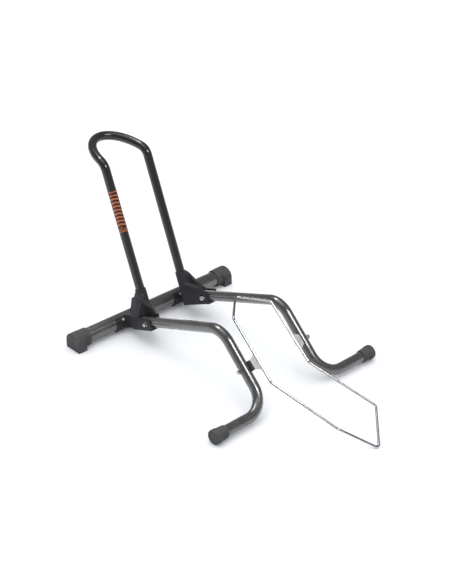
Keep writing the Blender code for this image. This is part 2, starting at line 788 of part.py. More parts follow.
def hex_bolt(name, head_x, end_x, y, z):
    """A hexagon bolt along X, whose head's under side is at head_x and whose tail is at end_x."""
    way = math.copysign(1.0, head_x - end_x)
    low, high = sorted((head_x, head_x + way * BOLT_HEAD_HEIGHT))
    outline = [(y + dy, z + dz) for dy, dz in hex_outline(BOLT_HEAD_WIDTH)]
    head = plate(name, outline, low, high)
    shank = rod("shank", (head_x + way * 0.001, y, z), (end_x, y, z), BOLT_RADIUS, 16)
    return unite(head, shank)


def hex_nut(name, x_low, y, z):
    """A hexagon nut along X from x_low."""
    outline = [(y + dy, z + dz) for dy, dz in hex_outline(BOLT_HEAD_WIDTH)]
    x_high = x_low + NUT_HEIGHT
    nut = plate(name, outline, x_low, x_high)
    return cut(nut, cross_hole(y, z, x_low - CUT_OVERRUN, x_high + CUT_OVERRUN))


def ring(name, x_low, y, z):
    """A washer along X from x_low."""
    radius = WASHER_RADIUS
    bore = BOLT_HOLE_RADIUS
    depth = WASHER_THICKNESS
    profile = [(radius, depth), (radius, 0.0), (bore, 0.0), (bore, depth), (radius, depth)]
    return turned(name, profile, (x_low, y, z), (1, 0, 0), 16)


def pair(right, material, pivot=None):
    """Finish a right-hand piece and its left-hand copy."""
    left = mirrored(right, right.name.replace("right", "left"))
    if pivot is None:
        finish_piece(left, material)
        finish_piece(right, material)
        return
    finish_piece(left, material, (-pivot[0], pivot[1], pivot[2]))
    finish_piece(right, material, pivot)


def make_leg_bolts():
    y, z = along_leg(LEG_BOLT_ALONG)
    outer = LEG_X + CHEEK_HALF + GAP
    inner = LEG_X - CHEEK_HALF - GAP
    head_x = outer + WASHER_THICKNESS + GAP
    nut_x = inner - WASHER_THICKNESS - GAP - NUT_HEIGHT
    pair(hex_bolt("leg_bolt_right", head_x, nut_x - BOLT_TAIL, y, z), zinc)
    pair(hex_nut("leg_bolt_nut_right", nut_x, y, z), zinc)
    pair(ring("leg_bolt_washer_outer_right", outer, y, z), zinc)
    pair(ring("leg_bolt_washer_inner_right", inner - WASHER_THICKNESS, y, z), zinc)


# ---------------------------------------------------------------- cradle


def cradle_corners():
    shoulder = Vector(CRADLE_SHOULDER)
    elbow = Vector(CRADLE_ELBOW)
    hip = Vector(CRADLE_HIP)
    tip = Vector((0.0, CRADLE_TIP_Y, WIRE_RADIUS - cradle_tip_drop()))
    right = [shoulder, elbow, hip]
    left = [Vector((-p.x, p.y, p.z)) for p in reversed(right)]
    return [Vector((0.0, *CRADLE_TOP)), *right, tip, *left]


def cradle_side_x(y):
    """The wire axis's distance from the stand's middle, on its sloping rear sides."""
    share = (y - CRADLE_SHOULDER[1]) / (CRADLE_ELBOW[1] - CRADLE_SHOULDER[1])
    return CRADLE_SHOULDER[0] + share * (CRADLE_ELBOW[0] - CRADLE_SHOULDER[0])


def cradle_slope():
    """Unit vectors down along the wire's sloping sides and square to their plane, in the YZ plane."""
    down = (Vector(CRADLE_ELBOW) - Vector(CRADLE_SHOULDER)) * Vector((0.0, 1.0, 1.0))
    down.normalize()
    return down, Vector((0.0, down.z, -down.y))


def wire_above_pivot():
    """How far the plane of the wire's sloping sides lies above the pivot."""
    return (Vector(CRADLE_SHOULDER) - Vector((0.0, PIVOT_Y, pivot_z()))).dot(cradle_slope()[1])


def make_cradle():
    radii = [CRADLE_TIP_BEND, *[CRADLE_BEND] * 3, CRADLE_TIP_BEND, *[CRADLE_BEND] * 3]
    path = rounded_path(cradle_corners(), radii, closed=True, step=math.radians(15))
    wire = bent_tube("cradle_wire", path, WIRE_RADIUS, 2, closed=True)
    finish_piece(wire, zinc, (0.0, PIVOT_Y, pivot_z()))


def round_ended(top):
    """A flat-topped outline in (y, z) that ends below the pivot in a half circle about it."""
    down, up = cradle_slope()
    centre = Vector((0.0, PIVOT_Y, pivot_z()))
    corners = [centre + up * top + down * LUG_ROUND, centre + up * top - down * LUG_ROUND]
    steps = 10
    for k in range(steps + 1):
        turn = math.pi * k / steps
        corners.append(centre - (down * math.cos(turn) + up * math.sin(turn)) * LUG_ROUND)
    return [(point.y, point.z) for point in corners]


def make_lug(outer):
    """A bent tab: a flat flange beside the wire, folded down at its outer edge into an ear."""
    down, up = cradle_slope()
    rise = wire_above_pivot()
    foot = PIVOT_Y + down.y * LUG_LENGTH / 2
    inner = cradle_side_x(foot) + WIRE_RADIUS + GAP
    half = LUG_LENGTH / 2
    reach = outer - LUG_THICKNESS / 2
    outline = [(inner, -half), (reach, -LUG_ROUND), (reach, LUG_ROUND), (inner, half)]
    place = Matrix.Identity(4)
    for column, vector in enumerate((Vector((1, 0, 0)), down, up)):
        place.col[column] = (*vector, 0.0)
    place.translation = Vector((0.0, PIVOT_Y, pivot_z())) + up * rise
    flange = slab("flange", outline, LUG_THICKNESS, place)
    lug = plate("cradle_lug_right", round_ended(rise + LUG_THICKNESS / 2), outer - LUG_THICKNESS, outer)
    lug = unite(lug, flange)
    inner_face = outer - LUG_THICKNESS - CUT_OVERRUN
    return cut(lug, cross_hole(PIVOT_Y, pivot_z(), inner_face, outer + CUT_OVERRUN))


def make_spacer(inner, outer):
    """A moulded block between ear and leg, whose lips reach round the leg."""
    spacer = plate("pivot_spacer_right", round_ended(SPACER_TOP), inner, outer)
    reach = 2 * LUG_LENGTH
    leg = rod("leg", shin_point(LEG_X, -reach), shin_point(LEG_X, reach), LEG_RADIUS + GAP, 32)
    spacer = cut(spacer, leg)
    hole = cross_hole(PIVOT_Y, pivot_z(), inner - CUT_OVERRUN, outer + CUT_OVERRUN)
    return cut(spacer, hole)


def make_pivots():
    y = PIVOT_Y
    z = pivot_z()
    leg_face = LEG_X - LEG_RADIUS
    ear_x = leg_face - LUG_CLEARANCE
    pair(make_lug(ear_x), zinc, (ear_x, y, z))
    pair(make_spacer(ear_x + GAP, leg_face + SPACER_LIP), nylon)
    washer_x = LEG_X + LEG_RADIUS + GAP
    nut_x = washer_x + WASHER_THICKNESS + GAP
    tail_x = nut_x + NUT_HEIGHT + BOLT_TAIL
    washer = ring("pivot_washer_right", washer_x, y, z)
    pair(washer, zinc)
    pair(hex_bolt("pivot_bolt_right", ear_x - LUG_THICKNESS - GAP, tail_x, y, z), zinc)
    pair(hex_nut("pivot_nut_right", nut_x, y, z), zinc)


# ---------------------------------------------------------------- assembly


def hang_on_origin():
    """Set the origin on the floor, midway between the cradle's tip and the arch's back."""
    front = CRADLE_TIP_Y - WIRE_RADIUS
    back = hoop_point(0, HOOP_ARCH_START + HOOP_ARCH_DEPTH).y + HOOP_RADIUS
    root = bpy.data.objects.new("stand_origin", None)
    stand.objects.link(root)
    for obj in list(stand.objects):
        if obj is not root:
            obj.parent = root
    root.location.y = -(front + back) / 2


clear_scene()
workshop = new_collection("workshop")
stand = new_collection("wheel_stand")
graphite = new_material("graphite_paint", (0.10, 0.10, 0.10), 0.30, 0.6)
hoop_black = new_material("hoop_paint", (0.02, 0.02, 0.018), 0.22, 0.3)
nylon = new_material("black_nylon", (0.022, 0.022, 0.025), 0.55, 0.0)
rubber = new_material("black_rubber", (0.025, 0.025, 0.025), 0.75, 0.0)
zinc = new_material("bright_zinc", (0.75, 0.75, 0.73), 0.22, 1.0)

make_rear_tube()
make_rear_feet()
make_legs()
make_leg_feet()
make_hoop()
make_brackets()
make_saddle_screws()
make_leg_bolts()
make_cradle()
make_pivots()
hang_on_origin()
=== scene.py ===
"""Looks of a floor stand for one bicycle wheel, built round its packed frame.

The bent tubes, moulded brackets, rubber feet, wire cradle and fasteners are each made as a fine
piece that stands for its plain node. Units are metres, +Z is up, the front of the stand faces -Y.
"""

import math

import bmesh
import bpy
from bpy.props import FloatProperty, FloatVectorProperty, IntProperty
from mathutils import Matrix, Vector


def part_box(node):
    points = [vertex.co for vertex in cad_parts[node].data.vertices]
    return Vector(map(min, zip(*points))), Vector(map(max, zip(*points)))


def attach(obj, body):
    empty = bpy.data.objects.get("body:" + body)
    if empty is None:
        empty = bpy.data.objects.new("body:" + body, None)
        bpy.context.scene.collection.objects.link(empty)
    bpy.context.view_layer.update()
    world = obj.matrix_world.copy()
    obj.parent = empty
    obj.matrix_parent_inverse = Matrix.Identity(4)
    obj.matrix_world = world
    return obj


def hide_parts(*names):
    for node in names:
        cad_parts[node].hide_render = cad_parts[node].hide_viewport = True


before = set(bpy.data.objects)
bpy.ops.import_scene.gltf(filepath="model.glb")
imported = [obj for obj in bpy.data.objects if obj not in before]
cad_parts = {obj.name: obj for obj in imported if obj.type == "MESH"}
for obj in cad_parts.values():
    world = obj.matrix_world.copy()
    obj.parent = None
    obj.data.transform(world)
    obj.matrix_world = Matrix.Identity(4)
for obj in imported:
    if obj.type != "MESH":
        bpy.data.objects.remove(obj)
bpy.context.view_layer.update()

bl_info = {
    "name": "Wheel Stand Looks",
    "version": (1, 0, 0),
    "blender": (4, 5, 0),
    "location": "3D View > Sidebar > Wheel Stand",
    "description": "Builds the fine pieces, finishes and studio of a floor stand for a bicycle wheel",
    "category": "Object",
}

GAP = 0.0003  # between pieces that touch
MERGE_DISTANCE = 1e-6  # points closer than this are one point
ARC_STEP = math.radians(4)  # turn between the points of a bend
FEWEST_ARCS = 3  # steps of the slightest bend
POWER_PER_AREA = 4  # of a reflection card, at brightness 1


# ---------------------------------------------------------------- places read from the frame


def middle(node):
    low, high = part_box(node)
    return (low + high) / 2


def extent(node):
    low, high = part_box(node)
    return high - low


TUBE_AXIS = middle("rear_tube")
TUBE_RADIUS = extent("rear_tube").z / 2
TUBE_HALF = extent("rear_tube").x / 2
FLOOR_AXIS_Z = middle("leg_foot_right").z
LEG_RADIUS = FLOOR_AXIS_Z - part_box("leg_right")[0].z
LEG_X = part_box("leg_right")[0].x + LEG_RADIUS
LEG_END_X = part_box("leg_right")[1].x
ANKLE_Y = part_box("leg_right")[0].y + LEG_RADIUS
WIRE_RADIUS = 0.0030
PIVOT = middle("pivot_nut_right")

# Fasteners: a 6 mm bolt with its nut and washers, and a small pan-head screw.
BOLT_RADIUS = 0.0030
HEX_WIDTH = 0.0100  # across the flats
HEAD_HEIGHT = 0.0040
HEAD_DOME = 0.0002
THREAD_LENGTH = 0.0120
THREAD_PITCH = 0.0010
NUT_BORE = 0.0031
WASHER_RADIUS = 0.0062
WASHER_BORE = 0.0033
SCREW_HEAD_RADIUS = 0.0036
SCREW_HEAD_HEIGHT = 0.0022
SCREW_RADIUS = 0.0018
SCREW_LENGTH = 0.0060

# Sockets of the colour mix node, whose names repeat.
MIX_SHARE = 0
MIX_FIRST = 6
MIX_SECOND = 7
MIX_RESULT = 2
FINISH_PREFIX = "fine_"  # keeps the finishes apart from the frame's plain materials


def size_property(name, description, default):
    return FloatProperty(
        name=name, description=description, default=default, unit="LENGTH", precision=5
    )


def angle_property(name, description, degrees):
    return FloatProperty(
        name=name, description=description, default=math.radians(degrees), subtype="ANGLE"
    )


def colour_property(name, description, default):
    return FloatVectorProperty(
        name=name, description=description, default=default, subtype="COLOR", size=3, min=0.0, max=1.0
    )


# ---------------------------------------------------------------- settings


class WHEELSTAND_PG_tubes(bpy.types.PropertyGroup):
    """Sizes of the bent tubes"""

    leg_start: size_property("Leg start", "From the rear tube's axis to the leg's hidden end", 0.0600)
    knee_forward: size_property("Knee forward", "From the rear tube's axis to the knee's corner", 0.3567)
    knee_height: size_property("Knee height", "Height of the knee's corner above the floor", 0.1579)
    knee_bend: size_property("Knee bend", "Radius of the leg's bend at the knee", 0.055)
    ankle_bend: size_property("Ankle bend", "Radius of the leg's bend at the floor", 0.057)
    hoop_radius: size_property("Hoop tube radius", "Radius of the hoop's tube", 0.0111)
    hoop_half: size_property("Hoop half width", "From the middle to an upright's axis", 0.0643)
    hoop_forward: size_property("Hoop foot forward", "From the rear tube's axis to the hoop's foot", 0.0701)
    hoop_foot: size_property("Hoop foot height", "Height of the hoop's foot above the floor", 0.0270)
    hoop_lean: angle_property("Hoop lean", "How far the uprights lean back", 22.2)
    hoop_straight: size_property("Upright length", "From the hoop's foot to the crook", 0.3908)
    crook_radius: size_property("Crook bend", "Radius of the bend between upright and arch", 0.0305)
    crook_angle: angle_property("Crook angle", "How far the arch is bent back from the uprights", 56.4)
    arch_start: size_property("Arch start", "Along the upright, where the sides begin to close", 0.4014)
    arch_depth: size_property("Arch depth", "From there to the back of the arch", 0.1030)
    hoop_start: size_property("Hoop start", "Along the upright, the hoop's hidden end", 0.0133)


class WHEELSTAND_PG_cradle(bpy.types.PropertyGroup):
    """Corners of the wire cradle, as distances in front of the rear tube's axis"""

    top_forward: size_property("Top forward", "To the rear point of the loop", 0.3036)
    top_height: size_property("Top height", "Height of the rear point", 0.1822)
    shoulder_forward: size_property("Shoulder forward", "To the loop's upper side bend", 0.3592)
    shoulder_height: size_property("Shoulder height", "Height of the upper side bend", 0.1716)
    shoulder_half: size_property("Shoulder half width", "From the middle to the upper side bend", 0.0580)
    elbow_forward: size_property("Elbow forward", "To the loop's middle side bend", 0.4851)
    elbow_height: size_property("Elbow height", "Height of the middle side bend", 0.0625)
    elbow_half: size_property("Elbow half width", "From the middle to the middle side bend", 0.0600)
    hip_forward: size_property("Hip forward", "To the loop's front side bend", 0.6881)
    hip_height: size_property("Hip height", "Height of the front side bend", 0.0467)
    hip_half: size_property("Hip half width", "From the middle to the front side bend", 0.0620)
    tip_forward: size_property("Tip forward", "To the front point of the loop", 0.7560)
    side_bend: size_property("Side bend", "Radius of the wire's side bends", 0.012)
    end_bend: size_property("End bend", "Radius of the wire's bends at its two points", 0.008)


class WHEELSTAND_PG_finish(bpy.types.PropertyGroup):
    """Colours of the finishes"""

    graphite: colour_property(
        "Graphite paint", "Metallic paint of legs and rear tube", (0.085, 0.085, 0.082)
    )
    hoop: colour_property("Hoop paint", "Near-black gloss of the hoop", (0.010, 0.010, 0.0095))
    nylon: colour_property("Black nylon", "Moulded brackets and spacers", (0.018, 0.0185, 0.021))
    rubber: colour_property("Black rubber", "Feet", (0.030, 0.030, 0.030))
    zinc: colour_property("Bright zinc", "Plated wire, tabs and fasteners", (0.66, 0.66, 0.65))
    weld: colour_property("Weld", "Plated weld beads", (0.50, 0.50, 0.49))
    band: colour_property("Band ground", "Ground of the band on the hoop", (0.022, 0.007, 0.004))
    stripe: colour_property("Band stripes", "Stripes of the band on the hoop", (0.50, 0.13, 0.040))


class WHEELSTAND_PG_band(bpy.types.PropertyGroup):
    """The plain striped band round the left upright"""

    start: size_property("Band start", "Along the upright from its foot", 0.2395)
    length: size_property("Band length", "Along the upright", 0.1000)
    edge: size_property("Edge stripe", "Width of the stripes at the band's ends", 0.0022)
    pitch: size_property("Bar pitch", "From one slanted bar to the next", 0.0090)
    bars: IntProperty(name="Bars", description="Slanted bars between the end stripes", default=9, min=0)


def tubes():
    return bpy.context.scene.wheel_stand_tubes


def cradle():
    return bpy.context.scene.wheel_stand_cradle


def colours():
    return bpy.context.scene.wheel_stand_finish


# ---------------------------------------------------------------- mesh helpers


def new_object(name, mesh):
    obj = bpy.data.objects.new(name, mesh)
    bpy.context.scene.collection.objects.link(obj)
    return obj


def object_from(name, work):
    """Put a working mesh into a new object and free it."""
    mesh = bpy.data.meshes.new(name)
    work.to_mesh(mesh)
    work.free()
    return new_object(name, mesh)


def pointing(start, axis):
    """The placing that takes the origin to start and +Z to the axis."""
    return Matrix.Translation(start) @ Vector(axis).to_track_quat("Z", "Y").to_matrix().to_4x4()


def settle(obj):
    """Swap the object for a plain, welded mesh of what it looks like now."""
    bpy.context.view_layer.update()
    graph = bpy.context.evaluated_depsgraph_get()
    mesh = bpy.data.meshes.new_from_object(obj.evaluated_get(graph))
    mesh.transform(obj.matrix_world)
    work = bmesh.new()
    work.from_mesh(mesh)
    bmesh.ops.remove_doubles(work, verts=work.verts, dist=MERGE_DISTANCE)
    work.to_mesh(mesh)
    work.free()
    name = obj.name
    bpy.data.objects.remove(obj, do_unlink=True)
    return new_object(name, mesh)


def finish_piece(obj, body, material, slot, *nodes, sharp=35.0):
    """Shade the piece, give it its finish, hang it on its body and let it stand for its nodes."""
    obj.data.materials.clear()
    obj.data.materials.append(material)
    obj.data.shade_smooth()
    obj.data.set_sharp_from_angle(angle=math.radians(sharp))
    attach(obj, body)
    if nodes:
        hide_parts(*nodes)
    return obj


def mirrored(obj, name):
    mesh = obj.data.copy()
    mesh.transform(Matrix.Scale(-1, 4, (1, 0, 0)))
    mesh.flip_normals()
    return new_object(name, mesh)


def round_corners(corners, radii, closed=False):
    """The corners as a fine path, with an arc at each corner that has a radius."""
    count = len(corners)
    points = []
    for i, (corner, radius) in enumerate(zip(corners, radii)):
        corner = Vector(corner)
        if radius == 0.0 or (not closed and i in (0, count - 1)):
            points.append(corner)
            continue
        before = (Vector(corners[i - 1]) - corner).normalized()
        after = (Vector(corners[(i + 1) % count]) - corner).normalized()
        half = before.angle(after) / 2
        centre = corner + (before + after).normalized() * (radius / math.sin(half))
        first = corner + before * (radius / math.tan(half)) - centre
        axis = first.cross(corner + after * (radius / math.tan(half)) - centre)
        sweep = math.pi - 2 * half
        arcs = max(FEWEST_ARCS, round(sweep / ARC_STEP))
        for k in range(arcs + 1):
            points.append(centre + Matrix.Rotation(sweep * k / arcs, 3, axis) @ first)
    return points


def bent_bar(name, points, radius, sides=32, closed=False, swell=None):
    """A round bar along a path; swell gives each point its own share of the radius."""
    curve = bpy.data.curves.new(name, "CURVE")
    curve.dimensions = "3D"
    curve.bevel_depth = radius
    curve.bevel_resolution = sides // 2 - 2  # a round bevel has 4 sides, and 2 more per step
    curve.use_fill_caps = not closed
    curve.twist_mode = "MINIMUM"
    spline = curve.splines.new("POLY")
    spline.points.add(len(points) - 1)
    for k, place in enumerate(points):
        spline.points[k].co = (*place, 1.0)
        spline.points[k].radius = swell[k] if swell else 1.0
    spline.use_cyclic_u = closed
    obj = bpy.data.objects.new(name, curve)
    bpy.context.scene.collection.objects.link(obj)
    return settle(obj)


def turned(name, profile, start, axis, steps=64):
    """A profile of (radius, distance along the axis) turned about the axis that leaves start."""
    mesh = bpy.data.meshes.new(name)
    edges = [(i, i + 1) for i in range(len(profile) - 1)]
    mesh.from_pydata([(radius, 0.0, along) for radius, along in profile], edges, [])
    obj = new_object(name, mesh)
    screw = obj.modifiers.new("Turn", "SCREW")
    screw.axis = "Z"
    screw.steps = steps
    screw.render_steps = steps
    screw.use_merge_vertices = True
    screw.merge_threshold = MERGE_DISTANCE
    obj.matrix_world = pointing(start, axis)
    return settle(obj)


def rounding(centre_radius, centre_along, radius, first, last, steps=6):
    """An arc of a turned profile, from one angle to another in degrees."""
    points = []
    for k in range(steps + 1):
        angle = math.radians(first + (last - first) * k / steps)
        points.append(
            (centre_radius + radius * math.cos(angle), centre_along + radius * math.sin(angle))
        )
    return points


def turned_ring(name, outer, bore, length, soft, start, axis, steps=64):
    """A ring or tube from start along the axis, with its outer edges rounded."""
    profile = rounding(outer - soft, length - soft, soft, 90, 0, steps=4)
    profile += rounding(outer - soft, soft, soft, 0, -90, steps=4)
    profile += [(bore, 0.0), (bore, length)]
    profile.append(profile[0])
    return turned(name, profile, start, axis, steps)


def join(obj, *others):
    """Put the others' meshes into the first object as loose shells."""
    work = bmesh.new()
    work.from_mesh(obj.data)
    for other in others:
        work.from_mesh(other.data)
        bpy.data.objects.remove(other, do_unlink=True)
    work.to_mesh(obj.data)
    work.free()
    return obj


def boolean(obj, other, operation):
    modifier = obj.modifiers.new("Shape", "BOOLEAN")
    modifier.operation = operation
    modifier.object = other
    result = settle(obj)
    bpy.data.objects.remove(other, do_unlink=True)
    return result


def moulded(obj, voxel, softness):
    """Fuse the shells into one skin and round every edge, as a moulding or a pressing has it."""
    remesh = obj.modifiers.new("Fuse", "REMESH")
    remesh.mode = "VOXEL"
    remesh.voxel_size = voxel
    smooth = obj.modifiers.new("Soften", "SMOOTH")
    smooth.factor = 0.5
    smooth.iterations = softness
    return settle(obj)


def copy_of(node, name):
    return new_object(name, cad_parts[node].data.copy())


# ---------------------------------------------------------------- shader effects


def add(tree, kind, sockets=None, **settings):
    """Add a node; each socket takes a value or another node's output."""
    node = tree.nodes.new(kind)
    for key, value in settings.items():
        setattr(node, key, value)
    for key, value in (sockets or {}).items():
        if isinstance(value, bpy.types.NodeSocket):
            tree.links.new(value, node.inputs[key])
        else:
            node.inputs[key].default_value = value
    return node


def math_node(tree, operation, first, second=0.0):
    return add(tree, "ShaderNodeMath", {0: first, 1: second}, operation=operation).outputs[0]


def effect(name, inputs, outputs):
    """An empty shader group with named number inputs and outputs, or None if it exists already."""
    if name in bpy.data.node_groups:
        return None
    group = bpy.data.node_groups.new(name, "ShaderNodeTree")
    for label, value in inputs.items():
        socket = group.interface.new_socket(label, in_out="INPUT", socket_type="NodeSocketFloat")
        socket.default_value = value
    for label in outputs:
        group.interface.new_socket(label, in_out="OUTPUT", socket_type="NodeSocketFloat")
    group.nodes.new("NodeGroupInput")
    group.nodes.new("NodeGroupOutput")
    return group


def group_ends(group):
    return group.nodes["Group Input"].outputs, group.nodes["Group Output"].inputs


def place_coordinates(tree):
    return add(tree, "ShaderNodeTexCoord").outputs["Object"]


def noise(tree, scale, detail=2.0, vector=None):
    vector = vector or place_coordinates(tree)
    sockets = {"Vector": vector, "Scale": scale, "Detail": detail}
    return add(tree, "ShaderNodeTexNoise", sockets).outputs["Fac"]


def make_cloud_effect():
    """Slow variation of tone over a surface."""
    group = effect("cloud", {"Scale": 20.0, "Low": 0.0, "High": 1.0}, ["Value"])
    if group is None:
        return
    given, result = group_ends(group)
    value = noise(group, given["Scale"], detail=4.0)
    steep = add(group, "ShaderNodeMapRange", {"Value": value, "From Min": 0.3, "From Max": 0.7})
    node = add(group, "ShaderNodeMapRange", {"Value": steep.outputs["Result"]})
    group.links.new(given["Low"], node.inputs["To Min"])
    group.links.new(given["High"], node.inputs["To Max"])
    group.links.new(node.outputs["Result"], result["Value"])


def make_grain_effect():
    """Fine two-scale grain for bumps."""
    group = effect("grain", {"Scale": 900.0, "Coarse share": 0.4}, ["Height"])
    if group is None:
        return
    given, result = group_ends(group)
    coarse_ratio = 0.2
    fine = noise(group, given["Scale"], detail=3.0)
    coarse_scale = math_node(group, "MULTIPLY", given["Scale"], coarse_ratio)
    coarse = math_node(group, "MULTIPLY", noise(group, coarse_scale), given["Coarse share"])
    group.links.new(math_node(group, "ADD", fine, coarse), result["Height"])


def make_flake_effect():
    """Metal flakes in paint: small cells that each catch the light in their own way."""
    group = effect("flake", {"Scale": 2200.0, "Share": 0.25}, ["Mask"])
    if group is None:
        return
    given, result = group_ends(group)
    cells = add(
        group, "ShaderNodeTexVoronoi", {"Vector": place_coordinates(group), "Scale": given["Scale"]}
    )
    tone = add(group, "ShaderNodeSeparateColor", {"Color": cells.outputs["Color"]})
    limit = math_node(group, "SUBTRACT", 1.0, given["Share"])
    group.links.new(math_node(group, "GREATER_THAN", tone.outputs["Red"], limit), result["Mask"])


def make_dust_effect():
    """Pale dust that settles on faces that look up."""
    group = effect("dust", {"Scale": 60.0, "Amount": 0.2}, ["Mask"])
    if group is None:
        return
    given, result = group_ends(group)
    facing = add(group, "ShaderNodeNewGeometry").outputs["Normal"]
    height = add(group, "ShaderNodeSeparateXYZ", {"Vector": facing}).outputs["Z"]
    upward = add(group, "ShaderNodeMapRange", {"Value": height, "From Min": 0.2, "From Max": 1.0})
    patches = noise(group, given["Scale"], detail=5.0)
    mask = math_node(group, "MULTIPLY", upward.outputs["Result"], patches)
    group.links.new(math_node(group, "MULTIPLY", mask, given["Amount"]), result["Mask"])


def make_scuff_effect():
    """Sparse thin scratches, drawn out by stretching a noise one way."""
    group = effect("scuff", {"Scale": 30.0, "Amount": 0.5}, ["Mask"])
    if group is None:
        return
    given, result = group_ends(group)
    sockets = {
        "Vector": place_coordinates(group),
        "Rotation": (0.4, 0.7, 0.2),
        "Scale": (1.0, 12.0, 12.0),
    }
    stretch = add(group, "ShaderNodeMapping", sockets)
    lines = noise(group, given["Scale"], detail=6.0, vector=stretch.outputs["Vector"])
    sharp = add(group, "ShaderNodeMapRange", {"Value": lines, "From Min": 0.64, "From Max": 0.72})
    mask = math_node(group, "MULTIPLY", sharp.outputs["Result"], given["Amount"])
    group.links.new(mask, result["Mask"])


def make_effects():
    make_cloud_effect()
    make_grain_effect()
    make_flake_effect()
    make_dust_effect()
    make_scuff_effect()


def placed(tree, group, **values):
    node = add(tree, "ShaderNodeGroup", node_tree=bpy.data.node_groups[group])
    for key, value in values.items():
        node.inputs[key.replace("_", " ").capitalize()].default_value = value
    return node.outputs[0]


# ---------------------------------------------------------------- finishes


def blank_material(name, **constants):
    """A material whose plain numbers sit on the Principled shader's own sockets."""
    material = bpy.data.materials.new(FINISH_PREFIX + name)
    material.use_nodes = True
    shader = material.node_tree.nodes["Principled BSDF"]
    for key, value in constants.items():
        shader.inputs[key.replace("_", " ")].default_value = value
    return material, material.node_tree, shader


def mix(tree, share, first, second):
    """Mix two colours by a share that changes over the surface."""
    node = add(tree, "ShaderNodeMix", data_type="RGBA")
    for socket, value in ((MIX_SHARE, share), (MIX_FIRST, first), (MIX_SECOND, second)):
        if isinstance(value, bpy.types.NodeSocket):
            tree.links.new(value, node.inputs[socket])
        else:
            node.inputs[socket].default_value = value
    return node.outputs[MIX_RESULT]


def tint(colour, factor=1.0):
    return (*(min(part * factor, 1.0) for part in colour), 1.0)


def surface(tree, shader, colour, smoothest, roughest, patch_scale):
    """Give the shader its colour, and a roughness that drifts between two values."""
    tree.links.new(colour, shader.inputs["Base Color"])
    drift = placed(tree, "cloud", scale=patch_scale, low=smoothest, high=roughest)
    tree.links.new(drift, shader.inputs["Roughness"])


def bump(tree, shader, grain_scale, coarse_share, distance, strength):
    """Raise the fine grain over the surface by a distance."""
    height = placed(tree, "grain", scale=grain_scale, coarse_share=coarse_share)
    sockets = {"Height": height, "Distance": distance, "Strength": strength}
    node = add(tree, "ShaderNodeBump", sockets)
    tree.links.new(node.outputs["Normal"], shader.inputs["Normal"])


def dusted(tree, colour, dust_colour, scale, amount):
    return mix(tree, placed(tree, "dust", scale=scale, amount=amount), colour, dust_colour)


def clouded(tree, first, second, scale, low, high):
    """Drift between two colours; low and high are the second one's share."""
    return mix(tree, placed(tree, "cloud", scale=scale, low=low, high=high), first, second)


def graphite_paint():
    base = colours().graphite
    pale_dust = (0.45, 0.44, 0.42, 1.0)
    flake_gain = 2.4
    shade = 0.7
    material, tree, shader = blank_material(
        "graphite_paint", Coat_Weight=1.0, Coat_Roughness=0.06, Metallic=0.6
    )
    mask = placed(tree, "flake", scale=2600.0, share=0.3)
    flakes = mix(tree, mask, tint(base), tint(base, flake_gain))
    tone = clouded(tree, flakes, tint(base, shade), scale=14.0, low=0.0, high=0.35)
    dusty = dusted(tree, tone, pale_dust, scale=80.0, amount=0.10)
    surface(tree, shader, dusty, smoothest=0.24, roughest=0.34, patch_scale=45.0)
    bump(tree, shader, grain_scale=380.0, coarse_share=0.8, distance=0.00003, strength=0.1)
    return material


def hoop_paint():
    base = colours().hoop
    pale_dust = (0.42, 0.41, 0.39, 1.0)
    light = 1.7
    material, tree, shader = blank_material("hoop_paint", Coat_Weight=0.35, Coat_Roughness=0.04)
    tone = clouded(tree, tint(base), tint(base, light), scale=9.0, low=0.0, high=0.6)
    dusty = dusted(tree, tone, pale_dust, scale=70.0, amount=0.06)
    surface(tree, shader, dusty, smoothest=0.16, roughest=0.24, patch_scale=40.0)
    bump(tree, shader, grain_scale=300.0, coarse_share=0.9, distance=0.00003, strength=0.12)
    return material


def black_nylon():
    base = colours().nylon
    grey_dust = (0.30, 0.30, 0.30, 1.0)
    light = 1.6
    material, tree, shader = blank_material("black_nylon", Specular_IOR_Level=0.3)
    tone = clouded(tree, tint(base), tint(base, light), scale=30.0, low=0.0, high=0.7)
    dusty = dusted(tree, tone, grey_dust, scale=120.0, amount=0.05)
    surface(tree, shader, dusty, smoothest=0.42, roughest=0.56, patch_scale=60.0)
    bump(tree, shader, grain_scale=1500.0, coarse_share=0.5, distance=0.00012, strength=0.5)
    return material


def black_rubber():
    base = colours().rubber
    scuffed = (0.11, 0.11, 0.108, 1.0)
    grey_dust = (0.26, 0.26, 0.255, 1.0)
    light = 1.9
    material, tree, shader = blank_material("black_rubber", Specular_IOR_Level=0.4)
    tone = clouded(tree, tint(base), tint(base, light), scale=55.0, low=0.0, high=0.8)
    worn = mix(tree, placed(tree, "scuff", scale=40.0, amount=0.35), tone, scuffed)
    dusty = dusted(tree, worn, grey_dust, scale=150.0, amount=0.22)
    surface(tree, shader, dusty, smoothest=0.58, roughest=0.74, patch_scale=90.0)
    bump(tree, shader, grain_scale=1100.0, coarse_share=0.7, distance=0.00018, strength=0.6)
    return material


def plated(name, base, smoothest, roughest, grain_scale, grain_depth, metallic=1.0):
    """Zinc plate, slightly cloudy and with its own grain."""
    shade = 0.82
    scratch_shade = 0.6
    material, tree, shader = blank_material(name, Metallic=metallic)
    tone = clouded(tree, tint(base), tint(base, shade), scale=120.0, low=0.0, high=1.0)
    scratches = placed(tree, "scuff", scale=60.0, amount=0.3)
    worn = mix(tree, scratches, tone, tint(base, scratch_shade))
    surface(tree, shader, worn, smoothest, roughest, patch_scale=200.0)
    bump(tree, shader, grain_scale, coarse_share=0.6, distance=grain_depth, strength=0.4)
    return material


def bright_zinc():
    return plated(
        "bright_zinc", colours().zinc, smoothest=0.12, roughest=0.22,
        grain_scale=900.0, grain_depth=0.00003,
    )


